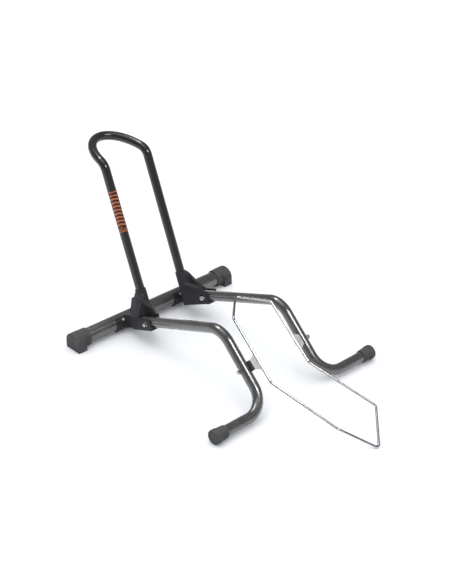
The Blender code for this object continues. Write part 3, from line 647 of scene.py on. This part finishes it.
def pressed_zinc():
    return plated(
        "pressed_zinc", colours().zinc, smoothest=0.34, roughest=0.50,
        grain_scale=500.0, grain_depth=0.00008, metallic=0.5,
    )


def weld_zinc():
    return plated(
        "weld_zinc", colours().weld, smoothest=0.34, roughest=0.55,
        grain_scale=700.0, grain_depth=0.00020,
    )


def between(tree, value, low, high):
    """1 where the value lies between low and high."""
    above = math_node(tree, "GREATER_THAN", value, low)
    below = math_node(tree, "LESS_THAN", value, high)
    return math_node(tree, "MULTIPLY", above, below)


def band_print():
    """Plain end stripes and slanted bars on a dark ground, read from the band's own axes."""
    band = bpy.context.scene.wheel_stand_band
    edge = band.edge
    second_stripe = 2.2 * edge
    field_start = 5.0 * edge
    slant = 0.35  # of a pitch, for each radian round the tube
    bar_share = 0.42
    bar_turn = 1.15  # how far the bars reach round the tube, each way
    material, tree, shader = blank_material("band_print", Coat_Weight=0.3, Coat_Roughness=0.06)
    axes = add(tree, "ShaderNodeSeparateXYZ", {"Vector": place_coordinates(tree)})
    along = axes.outputs["Z"]
    low = between(tree, along, 0.0, edge)
    second = between(tree, along, second_stripe, second_stripe + edge)
    top = between(tree, along, band.length - edge, band.length)
    ends = math_node(tree, "ADD", math_node(tree, "ADD", low, second), top)
    turn = math_node(tree, "ARCTAN2", axes.outputs["Y"], axes.outputs["X"])
    away = math_node(tree, "ABSOLUTE", turn)
    pitches = math_node(tree, "DIVIDE", along, band.pitch)
    step = math_node(tree, "ADD", pitches, math_node(tree, "MULTIPLY", away, slant))
    bars = math_node(tree, "LESS_THAN", math_node(tree, "FRACT", step), bar_share)
    field = between(tree, along, field_start, field_start + band.bars * band.pitch)
    front = math_node(tree, "LESS_THAN", away, bar_turn)
    bars = math_node(tree, "MULTIPLY", math_node(tree, "MULTIPLY", bars, field), front)
    mask = math_node(tree, "MAXIMUM", ends, bars)
    print_wear = placed(tree, "cloud", scale=260.0, low=0.78, high=1.0)
    worn = math_node(tree, "MULTIPLY", mask, print_wear)
    colour = mix(tree, worn, tint(colours().band), tint(colours().stripe))
    surface(tree, shader, colour, smoothest=0.24, roughest=0.34, patch_scale=50.0)
    return material


FINISHES = {
    "graphite_paint": graphite_paint,
    "hoop_paint": hoop_paint,
    "black_nylon": black_nylon,
    "black_rubber": black_rubber,
    "bright_zinc": bright_zinc,
    "pressed_zinc": pressed_zinc,
    "weld_zinc": weld_zinc,
    "band_print": band_print,
}


def finish(name):
    """The named finish, made the first time that a piece asks for it."""
    make_effects()
    return bpy.data.materials.get(FINISH_PREFIX + name) or FINISHES[name]()


# ---------------------------------------------------------------- shapes of the stand


def forward(distance, height, x=0.0):
    """A point in front of the rear tube's axis."""
    return Vector((x, TUBE_AXIS.y - distance, height))


def leg_slope():
    return math.atan2(tubes().knee_height - TUBE_AXIS.z, tubes().knee_forward)


def along_leg(distance, above=0.0, x=LEG_X):
    """A point at a distance from the rear tube's axis along the leg's rear stretch."""
    slope = leg_slope()
    reach = distance * math.cos(slope) - above * math.sin(slope)
    return forward(reach, TUBE_AXIS.z + distance * math.sin(slope) + above * math.cos(slope), x)


def leg_path():
    sizes = tubes()
    corners = [
        along_leg(sizes.leg_start),
        forward(sizes.knee_forward, sizes.knee_height, LEG_X),
        Vector((LEG_X, ANKLE_Y, FLOOR_AXIS_Z)),
        Vector((LEG_END_X, ANKLE_Y, FLOOR_AXIS_Z)),
    ]
    return round_corners(corners, [0.0, sizes.knee_bend, sizes.ankle_bend, 0.0])


def hoop_point(x, along):
    """A point of the hoop's axis: the flat hoop is rolled back through the crook's angle."""
    sizes = tubes()
    lean = sizes.hoop_lean
    radius = sizes.crook_radius
    bend = min(max(along - sizes.hoop_straight, 0.0) / radius, sizes.crook_angle)
    straight = min(along, sizes.hoop_straight)
    rest = max(along - sizes.hoop_straight - radius * sizes.crook_angle, 0.0)
    tilt = lean + bend
    back = straight * math.sin(lean) + rest * math.sin(tilt)
    back += radius * (math.cos(lean) - math.cos(tilt))
    rise = straight * math.cos(lean) + rest * math.cos(tilt)
    rise += radius * (math.sin(tilt) - math.sin(lean))
    return forward(sizes.hoop_forward - back, sizes.hoop_foot + rise, x)


def hoop_path():
    sizes = tubes()
    crook_steps = 16
    arch_steps = 40
    crook = sizes.crook_radius * sizes.crook_angle
    alongs = [sizes.hoop_start]
    alongs += [sizes.hoop_straight + crook * k / crook_steps for k in range(crook_steps)]
    half = [(sizes.hoop_half, along) for along in alongs if along < sizes.arch_start]
    for k in range(arch_steps + 1):
        turn = math.pi / 2 * k / arch_steps
        along = sizes.arch_start + sizes.arch_depth * math.sin(turn)
        half.append((sizes.hoop_half * math.cos(turn), along))
    right = [hoop_point(x, along) for x, along in half]
    return right + [hoop_point(-x, along) for x, along in reversed(half[:-1])]


def cradle_corners():
    sizes = cradle()
    right = [
        forward(sizes.shoulder_forward, sizes.shoulder_height, sizes.shoulder_half),
        forward(sizes.elbow_forward, sizes.elbow_height, sizes.elbow_half),
        forward(sizes.hip_forward, sizes.hip_height, sizes.hip_half),
    ]
    tip = forward(sizes.tip_forward, WIRE_RADIUS)
    side = (right[2] - tip).normalized()
    back = sizes.end_bend * (1 / abs(side.x) - 1)
    tip.z -= back * side.z / math.hypot(side.y, side.z)
    left = [Vector((-p.x, p.y, p.z)) for p in reversed(right)]
    return [forward(sizes.top_forward, sizes.top_height), *right, tip, *left]


def cradle_plane():
    """Unit vectors down along the wire's sloping sides and square to their plane."""
    sizes = cradle()
    down = forward(sizes.elbow_forward, sizes.elbow_height)
    down -= forward(sizes.shoulder_forward, sizes.shoulder_height)
    down.normalize()
    return down, Vector((0.0, down.z, -down.y))


def wire_beside_pivot(along):
    """A point of the right side's wire axis, at a distance down from the pivot."""
    sizes = cradle()
    down, up = cradle_plane()
    shoulder = forward(sizes.shoulder_forward, sizes.shoulder_height, sizes.shoulder_half)
    elbow = forward(sizes.elbow_forward, sizes.elbow_height, sizes.elbow_half)
    pivot = Vector((0.0, PIVOT.y, PIVOT.z))
    height = (Vector((0.0, shoulder.y, shoulder.z)) - pivot).dot(up)
    point = pivot + up * height + down * along
    share = (point.y - shoulder.y) / (elbow.y - shoulder.y)
    point.x = shoulder.x + share * (elbow.x - shoulder.x)
    return point


# ---------------------------------------------------------------- fastener shapes


def hexagon_levels(flat, corner, height):
    """Heights of a head's rings, each with the radius that its corners are turned down to."""
    foot_limit = flat * 1.02
    foot_share = 0.06
    waist_share = 0.5
    chamfer_steps = 4
    chamfer_rise = 0.58
    levels = [(0.0, foot_limit), (height * foot_share, corner), (height * waist_share, corner)]
    for k in range(chamfer_steps + 1):
        cut = (corner - flat) * k / chamfer_steps
        levels.append((height - (corner - flat - cut) * chamfer_rise, corner - cut))
    return levels


def hexagon_ring(work, flat, limit, level, sides):
    """A ring of points round a hexagon, no further from the axis than the limit."""
    ring = []
    for k in range(sides):
        turn = 2 * math.pi * k / sides
        offset = (turn + math.pi / 6) % (math.pi / 3) - math.pi / 6
        radius = min(flat / math.cos(offset), limit)
        ring.append(work.verts.new((radius * math.cos(turn), radius * math.sin(turn), level)))
    return ring


def round_ring(work, radius, level, sides):
    turns = [2 * math.pi * k / sides for k in range(sides)]
    return [work.verts.new((radius * math.cos(t), radius * math.sin(t), level)) for t in turns]


def bridge(work, low, high):
    """Join two rings of as many points with a band of faces."""
    for k in range(len(low)):
        following = (k + 1) % len(low)
        work.faces.new((low[k], low[following], high[following], high[k]))


def hexagonal(name, width, height, start, axis, dome=0.0, bore=0.0, sides=72):
    """A hexagon head or nut with turned-off corners, from start along the axis."""
    flat = width / 2
    corner = flat / math.cos(math.pi / 6)
    work = bmesh.new()
    levels = hexagon_levels(flat, corner, height)
    rings = [hexagon_ring(work, flat, limit, level, sides) for level, limit in levels]
    if bore:
        rings += [round_ring(work, bore, level, sides) for level in (height, 0.0)]
        rings.append(rings[0])
    else:
        rim = rings[-1]
        for share in (0.7, 0.4):  # of the rim's radius
            rise = height + dome * (1 - share**2)
            rings.append([work.verts.new((v.co.x * share, v.co.y * share, rise)) for v in rim])
        work.faces.new(rings[-1])
        work.faces.new(list(reversed(rings[0])))
    for low, high in zip(rings, rings[1:]):
        bridge(work, low, high)
    obj = object_from(name, work)
    obj.matrix_world = pointing(start, axis)
    return settle(obj)


def threaded_rod(name, start, axis, length, radius, threaded):
    """A plain shank whose far stretch carries thread grooves."""
    groove_share = 0.55  # depth of a groove, as a share of the pitch
    root = radius - THREAD_PITCH * groove_share
    profile = [(0.0, length), (root, length)]
    crest = ((root, 0.35), (radius, 0.75), (radius, 0.95))  # radius, share of the pitch
    for k in range(int(threaded / THREAD_PITCH)):
        along = length - THREAD_PITCH * k
        profile += [(reach, along - THREAD_PITCH * share) for reach, share in crest]
    profile += [(radius, 0.0), (0.0, 0.0)]
    return turned(name, profile, start, axis, steps=32)


def pan_screw(name, start, axis):
    """A domed screw head with a cross recess, on a short plain shank."""
    rim_share = 0.25  # of the head's height, left at its edge
    dome_steps = 8
    tip = 0.0005
    tip_share = 0.6
    slot_length = SCREW_HEAD_RADIUS * 1.15
    slot_width = SCREW_HEAD_RADIUS * 0.26
    slot_depth = SCREW_HEAD_HEIGHT * 1.1
    profile = [(0.0, SCREW_LENGTH + SCREW_HEAD_HEIGHT)]
    for k in range(1, dome_steps + 1):
        turn = math.pi / 2 * k / dome_steps
        rise = SCREW_HEAD_HEIGHT * (rim_share + (1 - rim_share) * math.cos(turn))
        profile.append((SCREW_HEAD_RADIUS * math.sin(turn), SCREW_LENGTH + rise))
    profile += [(SCREW_HEAD_RADIUS, SCREW_LENGTH), (SCREW_RADIUS, SCREW_LENGTH)]
    profile += [(SCREW_RADIUS, tip), (SCREW_RADIUS * tip_share, 0.0), (0.0, 0.0)]
    screw = turned(name, profile, start, axis, steps=48)
    crown = Vector(start) + Vector(axis).normalized() * (SCREW_LENGTH + SCREW_HEAD_HEIGHT)
    for quarter in (0, 1):
        slot = bmesh.new()
        bmesh.ops.create_cube(slot, size=1.0)
        slot.transform(Matrix.Diagonal((slot_length, slot_width, slot_depth, 1.0)))
        slot.transform(Matrix.Rotation(math.pi / 2 * quarter, 4, "Z"))
        slot.transform(pointing(crown, axis))
        screw = boolean(screw, object_from("slot", slot), "DIFFERENCE")
    screw.name = name
    return screw


# ---------------------------------------------------------------- operators: tubes and feet


class WHEELSTAND_OT_rear_tube(bpy.types.Operator):
    """Make the rear cross tube"""

    bl_idname = "wheelstand.rear_tube"
    bl_label = "Rear Tube"

    def execute(self, context):
        wall = 0.0015
        soft = 0.0004
        bore = TUBE_RADIUS - wall
        start = TUBE_AXIS - Vector((TUBE_HALF, 0.0, 0.0))
        tube = turned_ring(
            "rear_tube_fine", TUBE_RADIUS, bore, 2 * TUBE_HALF, soft, start, (1, 0, 0), steps=96
        )
        finish_piece(tube, "stand", finish("graphite_paint"), "graphite_paint", "rear_tube")
        return {"FINISHED"}


class WHEELSTAND_OT_legs(bpy.types.Operator):
    """Make the two bent front legs"""

    bl_idname = "wheelstand.legs"
    bl_label = "Legs"

    def execute(self, context):
        right = bent_bar("leg_right_fine", leg_path(), LEG_RADIUS, sides=40)
        left = mirrored(right, "leg_left_fine")
        for side, leg in (("left", left), ("right", right)):
            finish_piece(leg, "stand", finish("graphite_paint"), "graphite_paint", f"leg_{side}")
        return {"FINISHED"}


class WHEELSTAND_OT_hoop(bpy.types.Operator):
    """Make the tall hoop and the striped band on its left upright"""

    bl_idname = "wheelstand.hoop"
    bl_label = "Hoop"

    def execute(self, context):
        hoop = bent_bar("hoop_fine", hoop_path(), tubes().hoop_radius, sides=40)
        finish_piece(hoop, "stand", finish("hoop_paint"), "hoop_paint", "hoop")
        band = context.scene.wheel_stand_band
        film = 0.00012
        outer = tubes().hoop_radius + film
        inner = outer - film / 2
        profile = [(outer, band.length), (outer, 0.0), (inner, 0.0), (inner, band.length)]
        profile.append(profile[0])
        sleeve = turned("hoop_band", profile, (0, 0, 0), (0, 0, 1))
        foot = hoop_point(-tubes().hoop_half, band.start)
        up = (hoop_point(-tubes().hoop_half, band.start + band.length) - foot).normalized()
        front = Vector((-0.62, -0.78, 0.0))  # the bars face the front left
        front = (front - up * front.dot(up)).normalized()
        side = up.cross(front)
        place = Matrix((front, side, up)).transposed().to_4x4()
        place.translation = foot
        sleeve.matrix_world = place
        finish_piece(sleeve, "stand", finish("band_print"), "hoop_paint")
        return {"FINISHED"}


class WHEELSTAND_OT_rear_feet(bpy.types.Operator):
    """Make the rubber feet on the rear tube"""

    bl_idname = "wheelstand.rear_feet"
    bl_label = "Rear Feet"

    def execute(self, context):
        right = moulded(copy_of("rear_foot_right", "rear_foot_right_fine"), voxel=0.0007, softness=8)
        left = mirrored(right, "rear_foot_left_fine")
        for side, foot in (("left", left), ("right", right)):
            material = finish("black_rubber")
            finish_piece(foot, "stand", material, "black_rubber", f"rear_foot_{side}", sharp=80)
        return {"FINISHED"}


class WHEELSTAND_OT_leg_feet(bpy.types.Operator):
    """Make the ribbed rubber feet on the legs"""

    bl_idname = "wheelstand.leg_feet"
    bl_label = "Leg Feet"

    def execute(self, context):
        low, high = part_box("leg_foot_right")
        length = high.x - low.x
        outer = (high.z - low.z) / 2
        mouth = 0.0150
        cap = 0.0125
        ribs = 4
        depth = 0.0009
        soft = 0.0034
        dish = 0.0006
        dish_radius = outer * 0.55
        rim_radius = outer * 0.62
        plain = 0.0030  # between the mouth and the first rib
        end_wall = 0.0030
        lip = 0.0008
        socket = LEG_RADIUS + GAP
        profile = [(0.0, length - dish), (dish_radius, length - dish), (rim_radius, length)]
        profile += rounding(outer - soft, length - soft, soft, 90, 0, steps=8)
        profile.append((outer, length - cap))
        pitch = (length - cap - plain) / ribs
        steps = 10
        for k in range(ribs * steps + 1):
            along = length - cap - pitch * k / steps
            radius = mouth + (outer - mouth) * along / length
            profile.append((radius - depth * math.sin(math.pi * k / steps) ** 2, along))
        profile += rounding(mouth - lip, lip, lip, 0, -90, steps=4)
        profile += [(socket, 0.0), (socket, length - end_wall), (0.0, length - end_wall)]
        start = (low.x, ANKLE_Y, FLOOR_AXIS_Z)
        right = turned("leg_foot_right_fine", profile, start, (1, 0, 0), steps=80)
        left = mirrored(right, "leg_foot_left_fine")
        for side, foot in (("left", left), ("right", right)):
            material = finish("black_rubber")
            finish_piece(foot, "stand", material, "black_rubber", f"leg_foot_{side}", sharp=50)
        return {"FINISHED"}


class WHEELSTAND_OT_brackets(bpy.types.Operator):
    """Make the moulded brackets that join tube, legs and hoop"""

    bl_idname = "wheelstand.brackets"
    bl_label = "Brackets"

    def execute(self, context):
        body = copy_of("bracket_right", "bracket_right_fine")
        right = moulded(body, voxel=0.0008, softness=5)
        left = mirrored(right, "bracket_left_fine")
        for side, bracket in (("left", left), ("right", right)):
            material = finish("black_nylon")
            finish_piece(bracket, "stand", material, "black_nylon", f"bracket_{side}", sharp=80)
        return {"FINISHED"}


# ---------------------------------------------------------------- operators: fasteners


def place_pair(right, body, material, slot, node):
    """Finish a right-hand piece and its left-hand copy; node is the right-hand node's name."""
    left = mirrored(right, right.name.replace("right", "left"))
    finish_piece(left, body, material, slot, node.replace("right", "left"))
    finish_piece(right, body, material, slot, node)


def at_x(node, x):
    """The point of the node's long axis at a place across the stand."""
    centre = middle(node)
    return Vector((x, centre.y, centre.z))


def fine_bolt(node, head_outwards):
    """A hexagon bolt in the place of its node, which lies along X."""
    low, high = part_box(node)
    way = 1 if head_outwards else -1
    head_face = high.x if head_outwards else low.x
    end = low.x if head_outwards else high.x
    under_head = head_face - way * HEAD_HEIGHT
    length = abs(end - under_head)
    start = at_x(node, under_head)
    head = hexagonal(node + "_fine", HEX_WIDTH, HEAD_HEIGHT, start, (way, 0, 0), dome=HEAD_DOME)
    shank = threaded_rod("shank", start, (-way, 0, 0), length, BOLT_RADIUS, THREAD_LENGTH)
    return join(head, shank)


def fine_nut(node, way):
    """A hexagon nut in the place of its node; way is the side that its chamfer faces."""
    low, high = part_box(node)
    start = at_x(node, low.x if way > 0 else high.x)
    height = high.x - low.x
    return hexagonal(node + "_fine", HEX_WIDTH, height, start, (way, 0, 0), bore=NUT_BORE)


def fine_washer(node):
    low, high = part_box(node)
    thickness = high.x - low.x
    soft = thickness * 0.3
    start = at_x(node, low.x)
    return turned_ring(
        node + "_fine", WASHER_RADIUS, WASHER_BORE, thickness, soft, start, (1, 0, 0)
    )


class WHEELSTAND_OT_leg_bolts(bpy.types.Operator):
    """Make the cross bolts that hold the legs in the brackets"""

    bl_idname = "wheelstand.leg_bolts"
    bl_label = "Leg Bolts"

    def execute(self, context):
        zinc = finish("bright_zinc")
        bolt = fine_bolt("leg_bolt_right", head_outwards=True)
        place_pair(bolt, "stand", zinc, "bright_zinc", "leg_bolt_right")
        nut = fine_nut("leg_bolt_nut_right", way=-1)
        place_pair(nut, "stand", finish("pressed_zinc"), "bright_zinc", "leg_bolt_nut_right")
        for place in ("inner", "outer"):
            node = f"leg_bolt_washer_{place}_right"
            place_pair(fine_washer(node), "stand", zinc, "bright_zinc", node)
        return {"FINISHED"}


class WHEELSTAND_OT_saddle_screws(bpy.types.Operator):
    """Make the screws that hold the brackets to the rear tube"""

    bl_idname = "wheelstand.saddle_screws"
    bl_label = "Saddle Screws"

    def execute(self, context):
        for place in ("inner", "outer"):
            node = f"saddle_screw_{place}_right"
            centre = middle(node)
            away = Vector((0.0, centre.y - TUBE_AXIS.y, centre.z - TUBE_AXIS.z)).normalized()
            start = centre - away * (SCREW_LENGTH + SCREW_HEAD_HEIGHT) / 2
            screw = pan_screw(node + "_fine", start, away)
            place_pair(screw, "stand", finish("pressed_zinc"), "bright_zinc", node)
        return {"FINISHED"}


# ---------------------------------------------------------------- operators: cradle


class WHEELSTAND_OT_cradle_wire(bpy.types.Operator):
    """Make the rocking wire loop"""

    bl_idname = "wheelstand.cradle_wire"
    bl_label = "Cradle Wire"

    def execute(self, context):
        sizes = cradle()
        radii = [sizes.end_bend, *[sizes.side_bend] * 3, sizes.end_bend, *[sizes.side_bend] * 3]
        path = round_corners(cradle_corners(), radii, closed=True)
        wire = bent_bar("cradle_wire_fine", path, WIRE_RADIUS, sides=24, closed=True)
        finish_piece(wire, "cradle", finish("bright_zinc"), "bright_zinc", "cradle_wire")
        return {"FINISHED"}


def weld_bead(name, start, end, radius, pitch=0.0016):
    """A rippled bead of weld between two points."""
    points_per_ripple = 4
    ripple_depth = 0.18
    end_swell = 0.35
    end_slope = 5
    length = (end - start).length
    count = max(4, round(length / pitch * points_per_ripple))
    points = []
    swell = []
    for k in range(count + 1):
        share = k / count
        points.append(start.lerp(end, share))
        ripple = 1 - ripple_depth * (1 - math.cos(2 * math.pi * length * share / pitch))
        swell.append(ripple * min(1.0, end_swell + end_slope * min(share, 1 - share)))
    return bent_bar(name, points, radius, sides=12, swell=swell)


class WHEELSTAND_OT_cradle_lugs(bpy.types.Operator):
    """Make the pressed tabs that hang the wire on its pivots, and their welds"""

    bl_idname = "wheelstand.cradle_lugs"
    bl_label = "Cradle Lugs"

    def execute(self, context):
        bead_half = 0.0170
        bead_radius = 0.0013
        bead_lift = 0.0016
        beside_share = 0.9  # of the wire's radius
        body = copy_of("cradle_lug_right", "cradle_lug_right_fine")
        lug = moulded(body, voxel=0.0005, softness=4)
        lug.name = "cradle_lug_right_fine"
        place_pair(lug, "cradle", finish("pressed_zinc"), "bright_zinc", "cradle_lug_right")
        up = cradle_plane()[1]
        beside = Vector((WIRE_RADIUS * beside_share, 0.0, 0.0))
        for label, way in (("top", 1.0), ("under", -1.0)):
            offset = beside + up * (bead_lift * way)
            start = wire_beside_pivot(-bead_half) + offset
            end = wire_beside_pivot(bead_half) + offset
            bead = weld_bead(f"lug_weld_{label}_right", start, end, bead_radius)
            left = mirrored(bead, f"lug_weld_{label}_left")
            for piece in (bead, left):
                finish_piece(piece, "cradle", finish("weld_zinc"), "bright_zinc")
        return {"FINISHED"}


class WHEELSTAND_OT_pivots(bpy.types.Operator):
    """Make the spacers and bolts that the cradle rocks on"""

    bl_idname = "wheelstand.pivots"
    bl_label = "Pivots"

    def execute(self, context):
        zinc = finish("bright_zinc")
        body = copy_of("pivot_spacer_right", "pivot_spacer_right_fine")
        spacer = moulded(body, voxel=0.0004, softness=4)
        spacer.name = "pivot_spacer_right_fine"
        place_pair(spacer, "stand", finish("black_nylon"), "black_nylon", "pivot_spacer_right")
        bolt = fine_bolt("pivot_bolt_right", head_outwards=False)
        place_pair(bolt, "stand", zinc, "bright_zinc", "pivot_bolt_right")
        nut = fine_nut("pivot_nut_right", way=1)
        place_pair(nut, "stand", zinc, "bright_zinc", "pivot_nut_right")
        washer = fine_washer("pivot_washer_right")
        place_pair(washer, "stand", zinc, "bright_zinc", "pivot_washer_right")
        return {"FINISHED"}


# ---------------------------------------------------------------- stage


def soft_light(name, place, aim, width, depth, power):
    data = bpy.data.lights.new(name, "AREA")
    data.shape = "RECTANGLE"
    data.size = width
    data.size_y = depth
    data.energy = power
    light = new_object(name, data)
    light.location = place
    light.rotation_euler = (Vector(aim) - Vector(place)).to_track_quat("-Z", "Y").to_euler()
    return light


def reflection_card(name, place, width, depth, brightness):
    """A softbox that is seen in glossy surfaces and gives no diffuse light."""
    power = POWER_PER_AREA * width * depth * brightness
    card = soft_light(name, place, (0, 0, 0), width, depth, power)
    card.visible_diffuse = False
    return card


def studio_world():
    """Bright even fill for the floor; reflections see a dim room, dimmest overhead."""
    world = bpy.data.worlds.new("studio")
    world.use_nodes = True
    tree = world.node_tree
    fill = tree.nodes["Background"]
    fill.inputs["Color"].default_value = (0.95, 0.97, 1.0, 1.0)
    fill.inputs["Strength"].default_value = 1.2
    direction = add(tree, "ShaderNodeTexCoord").outputs["Generated"]
    height = add(tree, "ShaderNodeSeparateXYZ", {"Vector": direction}).outputs["Z"]
    sockets = {"Value": height, "From Max": 0.4, "To Min": 0.65, "To Max": 0.12}
    fade = add(tree, "ShaderNodeMapRange", sockets)
    seen = add(tree, "ShaderNodeBackground", {"Strength": fade.outputs["Result"]})
    glossy = add(tree, "ShaderNodeLightPath").outputs["Is Glossy Ray"]
    sockets = {0: glossy, 1: fill.outputs[0], 2: seen.outputs[0]}
    both = add(tree, "ShaderNodeMixShader", sockets).outputs[0]
    tree.links.new(both, tree.nodes["World Output"].inputs["Surface"])
    return world


def studio_camera():
    """A long lens that looks down on the stand from its front left."""
    data = bpy.data.cameras.new("camera")
    data.lens = 79.27
    data.sensor_width = 36.0
    data.clip_end = 50.0
    camera = new_object("camera", data)
    camera.location = (-1.7371, -1.8742, 1.6769)
    camera.rotation_euler = (math.radians(59.72), 0.0, math.radians(-42.66))
    return camera


class WHEELSTAND_OT_stage(bpy.types.Operator):
    """Set up the floor, the studio light and the camera"""

    bl_idname = "wheelstand.stage"
    bl_label = "Stage"

    def execute(self, context):
        scene = context.scene
        scene.view_settings.view_transform = "Standard"
        work = bmesh.new()
        bmesh.ops.create_grid(work, x_segments=4, y_segments=4, size=9.0)
        floor = object_from("floor", work)
        material, _, shader = blank_material("pale_floor", Roughness=0.9)
        shader.inputs["Base Color"].default_value = (0.93, 0.93, 0.94, 1.0)
        floor.data.materials.append(material)
        scene.world = studio_world()
        soft_light("overhead", (-0.3, 0.4, 2.8), (0, 0, 0), width=1.8, depth=1.8, power=14.0)
        reflection_card("front_card", (0.0, -2.42, 3.2), width=1.9, depth=0.7, brightness=12.0)
        reflection_card("back_card", (0.0, 1.9, 3.5), width=2.2, depth=0.8, brightness=8.0)
        scene.camera = studio_camera()
        return {"FINISHED"}


# ---------------------------------------------------------------- panel and run


class WHEELSTAND_PT_panel(bpy.types.Panel):
    """Lists the stand's pieces and sizes"""

    bl_idname = "WHEELSTAND_PT_panel"
    bl_label = "Wheel Stand"
    bl_space_type = "VIEW_3D"
    bl_region_type = "UI"
    bl_category = "Wheel Stand"

    def draw(self, context):
        layout = self.layout
        for operator in OPERATORS:
            layout.operator(operator.bl_idname)
        for name, kind in SETTINGS.items():
            box = layout.box()
            box.label(text=kind.__doc__)
            for key in kind.__annotations__:
                box.prop(getattr(context.scene, name), key)


OPERATORS = (
    WHEELSTAND_OT_stage,
    WHEELSTAND_OT_rear_tube,
    WHEELSTAND_OT_legs,
    WHEELSTAND_OT_hoop,
    WHEELSTAND_OT_rear_feet,
    WHEELSTAND_OT_leg_feet,
    WHEELSTAND_OT_brackets,
    WHEELSTAND_OT_leg_bolts,
    WHEELSTAND_OT_saddle_screws,
    WHEELSTAND_OT_cradle_wire,
    WHEELSTAND_OT_cradle_lugs,
    WHEELSTAND_OT_pivots,
)
SETTINGS = {
    "wheel_stand_tubes": WHEELSTAND_PG_tubes,
    "wheel_stand_cradle": WHEELSTAND_PG_cradle,
    "wheel_stand_finish": WHEELSTAND_PG_finish,
    "wheel_stand_band": WHEELSTAND_PG_band,
}


def register():
    for group in SETTINGS.values():
        bpy.utils.register_class(group)
    for operator in OPERATORS:
        bpy.utils.register_class(operator)
    bpy.utils.register_class(WHEELSTAND_PT_panel)
    for name, group in SETTINGS.items():
        setattr(bpy.types.Scene, name, bpy.props.PointerProperty(type=group))


def unregister():
    for name in SETTINGS:
        delattr(bpy.types.Scene, name)
    bpy.utils.unregister_class(WHEELSTAND_PT_panel)
    for operator in reversed(OPERATORS):
        bpy.utils.unregister_class(operator)
    for group in reversed(SETTINGS.values()):
        bpy.utils.unregister_class(group)


def main():
    register()
    for operator in OPERATORS:
        section, name = operator.bl_idname.split(".")
        getattr(getattr(bpy.ops, section), name)()


if __name__ == "__main__":
    main()
